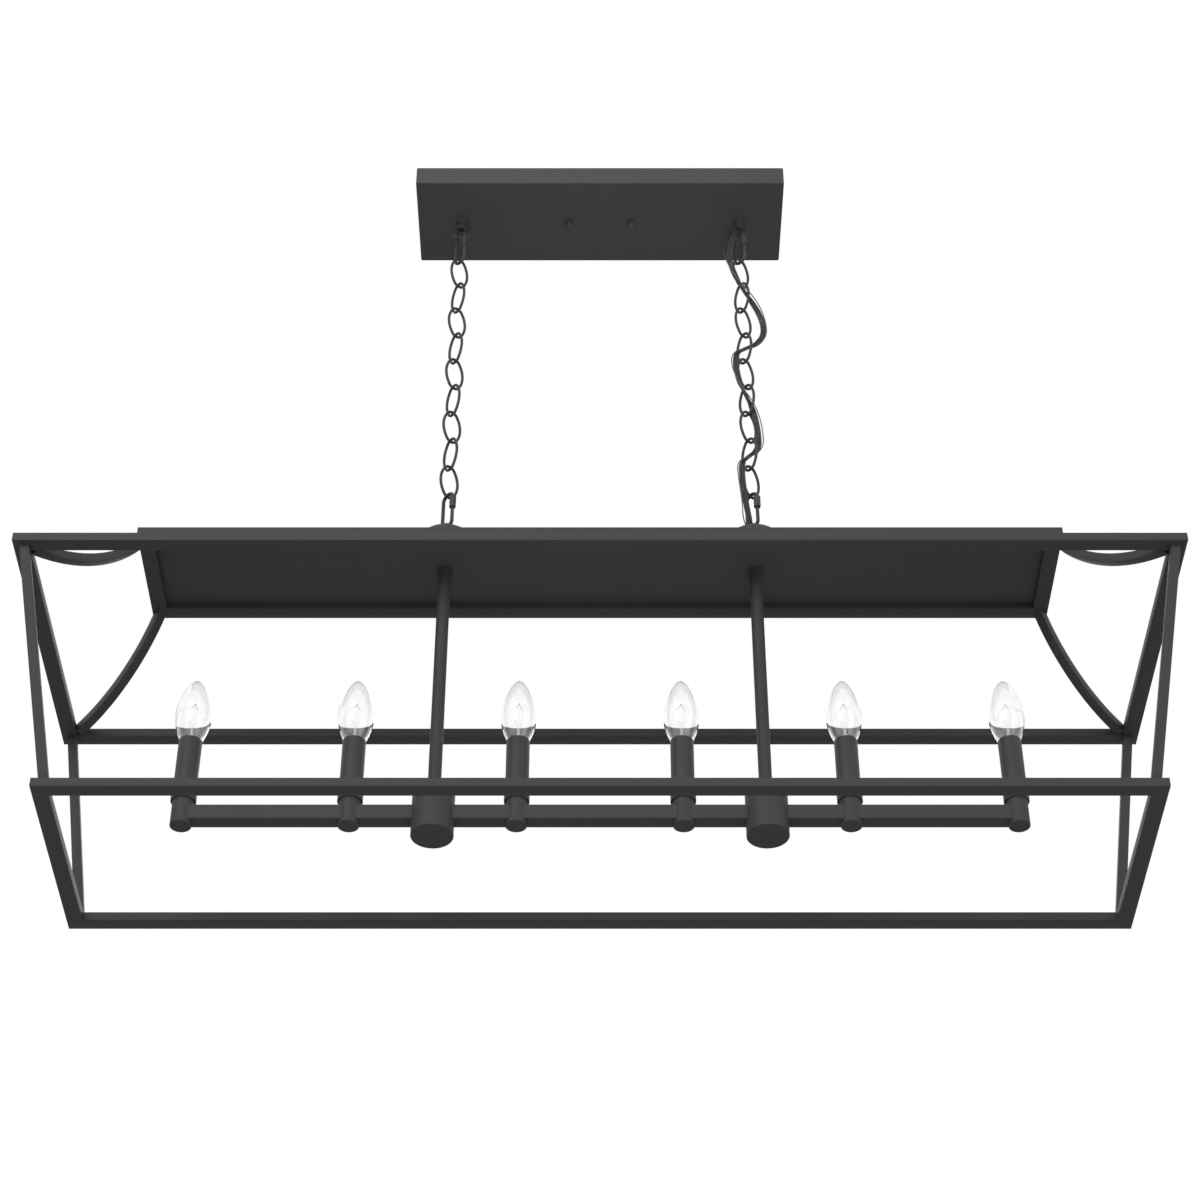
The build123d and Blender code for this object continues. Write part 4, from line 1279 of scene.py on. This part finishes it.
@dataclass
class Stems:
    """The two down tubes, and the round hubs where they meet the light bar."""

    bore: float = 9.6 * MM
    ease: float = 0.8 * MM
    rim: float = 0.4 * MM
    counterbore: float = 4.0 * MM
    running_gap: float = 0.1 * MM

    def build(self) -> None:
        """Turns each stem and each hub about its own axis."""
        for side in SIDES:
            node = f"stem_{side}"
            box = Place(node)
            radius, bore = box.size[0] / 2.0, self.bore / 2.0
            low, high = box.low[2], box.high[2]
            profile = closed_profile((bore, low), (radius, low), (radius, high - self.rim),
                                     (radius - self.rim, high), (bore, high))
            grid = turned(profile, 48, box.axis)
            make_piece(f"down_tube_{side}", [Surface(grid, True)], TURNED, "lantern", (node,))
            self.hub(side)

    def hub(self, side: str) -> None:
        """A turned drum with eased edges and a shallow counterbore round the stem."""
        node = f"hub_{side}"
        box = Place(node)
        radius, low, high = box.size[0] / 2.0, box.low[2], box.high[2]
        hole = Place(f"stem_{side}").size[0] / 2.0 + self.running_gap
        profile = closed_profile(
            (0.0, low), (radius - 1.4 * self.ease, low),
            arc((radius - self.ease, low + self.ease), self.ease, -90.0, 0.0, 6),
            arc((radius - self.ease, high - self.ease), self.ease, 0.0, 90.0, 6),
            (hole + self.rim, high), (hole, high - self.rim), (hole, high - self.counterbore),
            (0.0, high - self.counterbore),
        )
        grid = turned(profile, 80, box.axis)
        make_piece(f"hub_drum_{side}", [Surface(grid)], TURNED, "lantern", (node,))


# --- Candles --------------------------------------------------------------------------------------


@dataclass
class Candles:
    """Six candle holders on the light bar: post, drip cup, sleeve and socket."""

    floor: float = 2.0 * MM
    sleeve_wall: float = 1.0 * MM
    neck: float = 5.1 * MM
    base: float = 6.0 * MM
    ease: float = 0.6 * MM
    running_gap: float = 0.1 * MM
    shell_foot: float = 3.0 * MM
    shell_round: float = 1.2 * MM
    shell_rim: float = 0.4 * MM
    shell_depth: float = 19.5 * MM

    def build(self) -> None:
        """Builds each kind of piece once for every candle, as one mesh a kind."""
        posts = Place("candle_posts")
        radius = posts.size[1] / 2.0
        ends = posts.high[0] - radius
        self.places = np.linspace(-ends, ends, CANDLES)
        self.repeat("holder_posts", self.post(posts, radius), False, TURNED, "candle_posts", 56)
        self.repeat("drip_pans", self.drip_cup(), True, SHEET, "drip_cups", 56)
        self.repeat("candle_tubes", self.sleeve(), True, SLEEVE, "candle_sleeves", 56)
        self.repeat("socket_shells", self.socket(), True, SOCKET, "lamp_sockets", 40)

    def repeat(self, name: str, profile: Grid, ring: bool, finish: object, node: str,
               columns: int) -> None:
        """Turns a profile about every candle's axis and makes them one piece."""
        surfaces = [Surface(turned(profile, columns, (float(x), 0.0)), ring) for x in self.places]
        make_piece(name, surfaces, finish, "lantern", (node,))

    def post(self, box: Place, radius: float) -> Grid:
        """A short turned post that the bar runs through, eased at its lower edge."""
        low, high = box.low[2], box.high[2]
        return closed_profile(
            (0.0, low), (radius - 1.4 * self.ease, low),
            arc((radius - self.ease, low + self.ease), self.ease, -90.0, 0.0, 5),
            (radius, high), (0.0, high),
        )

    def drip_cup(self) -> Grid:
        """A shallow cup round the foot of the sleeve, with a rounded lip."""
        box, sleeve = Place("drip_cups"), Place("candle_sleeves")
        radius, inner = box.size[1] / 2.0, sleeve.size[1] / 2.0 + self.running_gap
        low, high = box.low[2], box.high[2]
        lip = (radius - inner) / 2.0
        return closed_profile(
            (self.neck, low),
            arc((radius - self.ease, low + self.ease), self.ease, -90.0, 0.0, 5),
            arc((radius - lip, high - lip), lip, 0.0, 180.0, 9),
            (inner, low + self.floor), (self.neck, low + self.floor),
        )

    def sleeve(self) -> Grid:
        """A thin tube with eased rims."""
        box = Place("candle_sleeves")
        radius = box.size[1] / 2.0
        inner, lip = radius - self.sleeve_wall, self.sleeve_wall / 2.0
        return closed_profile(
            (inner, box.low[2]), (radius, box.low[2]),
            arc((radius - lip, box.high[2] - lip), lip, 0.0, 180.0, 9),
        )

    def socket(self) -> Grid:
        """A phenolic shell with a rounded top, open for the bulb's base, on a narrow neck."""
        box, posts = Place("lamp_sockets"), Place("candle_posts")
        radius, top, turn = box.size[1] / 2.0, box.high[2], self.shell_round
        foot, floor = posts.high[2] + self.shell_foot, top - self.shell_depth
        neck, mouth = self.neck - self.running_gap, self.base + self.running_gap
        return closed_profile(
            (0.0, box.low[2]), (neck, box.low[2]), (neck, foot), (radius - self.ease, foot),
            (radius, foot + self.ease), arc((radius - turn, top - turn), turn, 0.0, 90.0, 6),
            (mouth + self.shell_rim, top), (mouth, top - self.shell_rim),
            (mouth, floor), (0.0, floor),
        )


# Outlines above a bulb's neck, as the distance from its axis and the height, in mm: the mount from
# its foot to its tip, one lead wire, and the wire that holds the filament up.
MOUNT = (
    (0.0, 0.6), (6.2, 0.6), (6.4, 1.2), (5.6, 5.0), (4.6, 9.0), (2.2, 12.4), (1.1, 16.0),
    (0.8, 19.6), (0.0, 20.2),
)
LEAD = ((0.7, 14.0), (1.4, 21.0), (4.0, 37.0), (4.0, 40.0))
SUPPORT = ((0.0, 19.0), (0.0, 49.0), (0.1, 50.0))


@dataclass
class Bulb:
    """A clear pointed bulb: envelope, mount, filament and screw base."""

    number: int
    wall: float = 0.8 * MM
    neck: float = 7.6 * MM
    rim: float = 10.0 * MM
    neck_drop: float = 5.0 * MM
    widest: float = 17.6 * MM
    widest_height: float = 30.0 * MM
    shoulder: float = 14.2 * MM
    shoulder_height: float = 50.4 * MM
    tip: float = 2.2 * MM
    tip_drop: float = 1.6 * MM
    thread_pitch: float = 2.54 * MM
    thread_depth: float = 0.55 * MM
    lead: float = 0.14 * MM
    support: float = 0.1 * MM
    bead: float = 0.9 * MM
    turns: int = 46
    coil: float = 0.32 * MM
    coil_wire: float = 0.05 * MM
    coil_peak: float = 1.15
    shell: float = 6.0 * MM
    collar_height: float = 2.0 * MM
    thread_start: float = 0.6 * MM
    thread_end: float = 1.6 * MM
    contact: float = 3.0 * MM
    solder: float = 2.5 * MM
    insulator: float = 0.6 * MM
    ease: float = 0.2 * MM

    def build(self) -> None:
        """Builds the envelope, the mount with its filament, and the base."""
        self.glass_box = Place(f"bulb_glass_{self.number}")
        self.base_box = Place(f"bulb_base_{self.number}")
        self.axis = self.glass_box.axis
        self.body = f"bulb_{self.number}"
        self.envelope()
        self.mount()
        self.filament()
        self.base()

    def profile(self, inset: float) -> Grid:
        """The envelope's outline from the neck to the tip, drawn in by inset."""
        low, high = self.glass_box.low[2], self.glass_box.high[2]
        rim = low + self.neck_drop
        return np.array([
            (self.neck - inset, low), (self.rim - inset, rim),
            (self.widest - inset, rim + self.widest_height),
            (self.shoulder - inset, rim + self.shoulder_height),
            (self.tip, high - self.tip_drop - inset), (0.0, high - inset),
        ])

    def above_neck(self, outline: tuple) -> Grid:
        """One of the outlines in mm, in metres and at its height."""
        return np.array(outline) * MM + [0.0, self.glass_box.low[2]]

    def envelope(self) -> None:
        """The glass: a smooth spline through the outline, turned, with the inside a wall away."""
        outer = smooth_curve(self.profile(0.0), 64)[::-1]
        inner = smooth_curve(self.profile(self.wall), 64)
        surfaces = [Surface(turned(np.concatenate([outer, inner]), 64, self.axis))]
        node = f"bulb_glass_{self.number}"
        make_piece(f"bulb_envelope_{self.number}", surfaces, GLASS, self.body, (node,))

    def mount(self) -> None:
        """The glass flare and rod that carry the filament: a wide foot that narrows to a tip."""
        curve = smooth_curve(self.above_neck(MOUNT), 40)
        curve[:, 0] = np.maximum(curve[:, 0], 0.0)
        surfaces = [Surface(turned(curve, 28, self.axis))]
        # The mount's opaque white is a painted highlight, not the colour of its glass
        make_piece(f"bulb_mount_{self.number}", surfaces, MOUNT_PAINTED_HIGHLIGHT, self.body)

    def filament(self) -> None:
        """Two lead wires, a support wire with its bead, and a coil strung over the support's hook.

        The coil's middle line drops from the hook to both leads by a power of the distance across,
        and its wire circles that line at a steady rate.
        """
        lead, support = smooth_curve(self.above_neck(LEAD), 20), self.above_neck(SUPPORT)
        (spread, top), hook = lead[-1], support[-1, 1]
        middle = [self.axis[0], 0.0, 0.0]
        surfaces = [
            Surface(capped(flat_tube(path, radius, 8) + middle))
            for path, radius in (
                (lead * [-1.0, 1.0], self.lead), (lead, self.lead), (support, self.support))
        ]
        bead = arc((0.0, hook), self.bead, -90.0, 90.0, 9)
        surfaces.append(Surface(turned(bead, 12, self.axis)))
        share = np.linspace(-1.0, 1.0, self.turns * 10)
        height = hook - np.abs(share) ** self.coil_peak * (hook - top)
        angle = share * self.turns * math.pi
        x, y = share * spread + self.coil * np.cos(angle), self.coil * np.sin(angle)
        coil = np.stack([x, y, height], axis=-1)
        wire = carried(coil, *framed(coil, (0.0, 0.0, 1.0)), circle(self.coil_wire, 6))
        surfaces.append(Surface(capped(wire + middle)))
        make_piece(f"bulb_filament_{self.number}", surfaces, FILAMENT, self.body)

    def base(self) -> None:
        """A brass screw shell: a collar, rolled threads that climb a pitch a turn, and the contact.

        The thread's wave, 0.5 - 0.5 * cos(height / pitch - turns), takes its depth off the shell.
        """
        low, high, ease = self.base_box.low[2], self.base_box.high[2], self.ease
        collar, shell, contact = self.base_box.size[0] / 2.0, self.shell, self.contact
        solder, seat = low + self.solder, high - self.collar_height
        rows, columns = 60, 40
        height = np.linspace(seat - self.thread_start, solder + self.thread_end, rows)
        start = closed_profile(
            (0.0, high), (collar - ease, high), (collar, high - ease), (collar, seat + 1.5 * ease),
            (shell - 0.5 * ease, seat),
        )
        end = closed_profile(
            (shell - 2.0 * self.insulator, solder + 3.5 * ease), (contact + self.insulator, solder),
            (contact, low + 4.0 * ease), (contact - 2.0 * self.insulator, low), (0.0, low),
        )
        profile = np.concatenate([start, upright(shell - 0.1 * ease, height), end])
        wave = 0.5 - 0.5 * np.cos(math.tau * height[:, None] / self.thread_pitch - around(columns))
        relief = np.zeros((len(profile), columns))
        relief[len(start):len(start) + rows] = -self.thread_depth * wave
        surfaces = [Surface(turned(profile, columns, self.axis, relief))]
        node = f"bulb_base_{self.number}"
        make_piece(f"screw_base_{self.number}", surfaces, BRASS, self.body, (node,))


# --- Studio ---------------------------------------------------------------------------------------


@dataclass(frozen=True)
class Lamp:
    """A square soft box: where it stands, what it faces, its size, watts and spread in degrees."""

    name: str
    place: tuple
    target: tuple
    size: float
    power: float
    spread: float = 180.0

    def build(self) -> None:
        """Sets up the lamp, which isn't seen itself, neither straight nor through glass."""
        data = bpy.data.lights.new(self.name, "AREA")
        data.size, data.energy = self.size, self.power
        data.spread = math.radians(self.spread)
        lamp = bpy.data.objects.new(self.name, data)
        lamp.location = self.place
        lamp.visible_camera = False
        lamp.visible_transmission = False
        x, y, z = np.array(self.target) - np.array(self.place)
        lamp.rotation_euler = (math.atan2(math.hypot(x, y), -z), 0.0, math.atan2(-x, y))
        bpy.context.scene.collection.objects.link(lamp)


# The key from the front left, a fill from the right, a rim light from behind, a faint wide light
# from below and a narrow one on the canopy
LIGHT, CANOPY = (0.0, 0.0, -0.6), (0.0, 0.0, 0.04)
LAMPS = (
    Lamp("key", (-1.5, -3.4, 1.2), LIGHT, 3.0, 88.0),
    Lamp("fill", (2.8, -2.6, -0.2), LIGHT, 2.6, 38.0),
    Lamp("rim", (0.6, 3.2, 1.0), LIGHT, 2.5, 30.0),
    Lamp("under", (0.0, -1.1, -2.3), (0.0, 0.0, -0.2), 1.6, 1.3, 80.0),
    Lamp("ceiling", (0.0, -2.0, -2.3), CANOPY, 0.3, 0.28, 18.0),
)


@dataclass
class Studio:
    """Camera, lamps, pale surroundings and floor."""

    camera_place: tuple = (0.0, -2.04703, -2.28893)
    camera_pitch: float = 39.862
    lens: float = 80.4255
    sensor: float = 36.0
    floor_height: float = -2.75
    floor_size: float = 30.0
    surround: float = 0.30
    floor_tone: float = 0.64
    floor_spread: float = 0.04
    floor_scale: float = 0.8
    floor_roughness: float = 0.8
    floor_specular: float = 0.2
    reach: float = 100.0

    def build(self) -> None:
        """Sets up everything that isn't the object."""
        self.camera()
        self.world()
        self.floor()
        for lamp in LAMPS:
            lamp.build()
        bpy.context.scene.view_settings.view_transform = "Standard"

    def camera(self) -> None:
        """The photograph's camera: in front of the light and well below it, looking up."""
        data = bpy.data.cameras.new("camera")
        data.lens, data.sensor_width = self.lens, self.sensor
        data.clip_end = self.reach
        camera = bpy.data.objects.new("camera", data)
        camera.location = self.camera_place
        camera.rotation_euler = (math.radians(90.0 + self.camera_pitch), 0.0, 0.0)
        bpy.context.scene.collection.objects.link(camera)
        bpy.context.scene.camera = camera

    def world(self) -> None:
        """White to the camera, in reflections and through glass, and soft grey otherwise."""
        graph = Graph("surround", world=True)
        seen = 0.0
        for kind in ("Camera", "Glossy", "Transmission"):
            ray = graph.node("ShaderNodeLightPath", output=f"Is {kind} Ray")
            seen = graph.node("ShaderNodeMath", {"operation": "MAXIMUM"}, {0: seen, 1: ray})
        limits = {"To Min": self.surround, "To Max": 1.0}
        level = graph.node("ShaderNodeMapRange", {}, {"Value": seen, **limits})
        white = {"Color": (1.0, 1.0, 1.0, 1.0), "Strength": level}
        bpy.context.scene.world = graph.finish(graph.node("ShaderNodeBackground", {}, white))

    def floor(self) -> None:
        """A wide pale floor, a room's height below the ceiling."""
        half = self.floor_size / 2.0
        mesh = bpy.data.meshes.new("floor")
        ways = ((-1, -1), (1, -1), (1, 1), (-1, 1))
        corners = [(x * half, y * half, self.floor_height) for x, y in ways]
        mesh.from_pydata(corners, [], [(0, 1, 2, 3)])
        graph = Graph("floor")
        shade = graph.noise(self.floor_scale, 2.0)
        low, high = (self.floor_tone,) * 3, (self.floor_tone + self.floor_spread,) * 3
        inputs = {
            "Base Color": graph.tint(shade, low, high),
            "Roughness": self.floor_roughness,
            "Specular IOR Level": self.floor_specular,
        }
        mesh.materials.append(graph.finish(graph.principled(inputs)))
        floor = bpy.data.objects.new("floor", mesh)
        bpy.context.scene.collection.objects.link(floor)


def dress_cad(nodes: dict, record: dict) -> None:
    """Gives each CAD node that still shows the procedural material of its own slot."""
    for name, node in nodes.items():
        if node.hide_render:
            continue
        finish = CAD_FINISHES[slot_of(record, name)]
        for slot in node.material_slots:
            slot.material = material_of(finish)
        LOG.info("%s keeps its CAD mesh in %s", name, finish.slot.value)


def slot_of(record: dict, name: str) -> str:
    """The record's material slot of a node."""
    for part in record["subparts"]:
        if part.get("node") == name:
            return part["material_slot"]
    raise KeyError(name)


def main() -> None:
    """Builds the sub-assemblies in order, from the ceiling down, and then the studio."""
    logging.basicConfig(level=logging.INFO, format="%(name)s: %(message)s")
    Studio().build()
    Canopy().build()
    for side in SIDES:
        Loop(f"canopy_loop_{side}", "canopy", 1).build()
        Loop(f"fixture_loop_{side}", "lantern", -1).build()
        QuickLink("top", side).build()
        QuickLink("bottom", side).build()
        Chain(side).build()
        SpliceCup(side).build()
    Cord("supply", "supply_cord", CORD_ROUTE, 4.6 * MM, 3, CORD, "medium").build()
    Cord("ground", "ground_wire", GROUND_ROUTE, 1.2 * MM, 1, COPPER, "medium").build()
    Bars().build()
    Stems().build()
    Candles().build()
    for number in range(1, CANDLES + 1):
        Bulb(number).build()
    dress_cad(frame["nodes"], frame["record"])


if __name__ == "__main__":
    main()
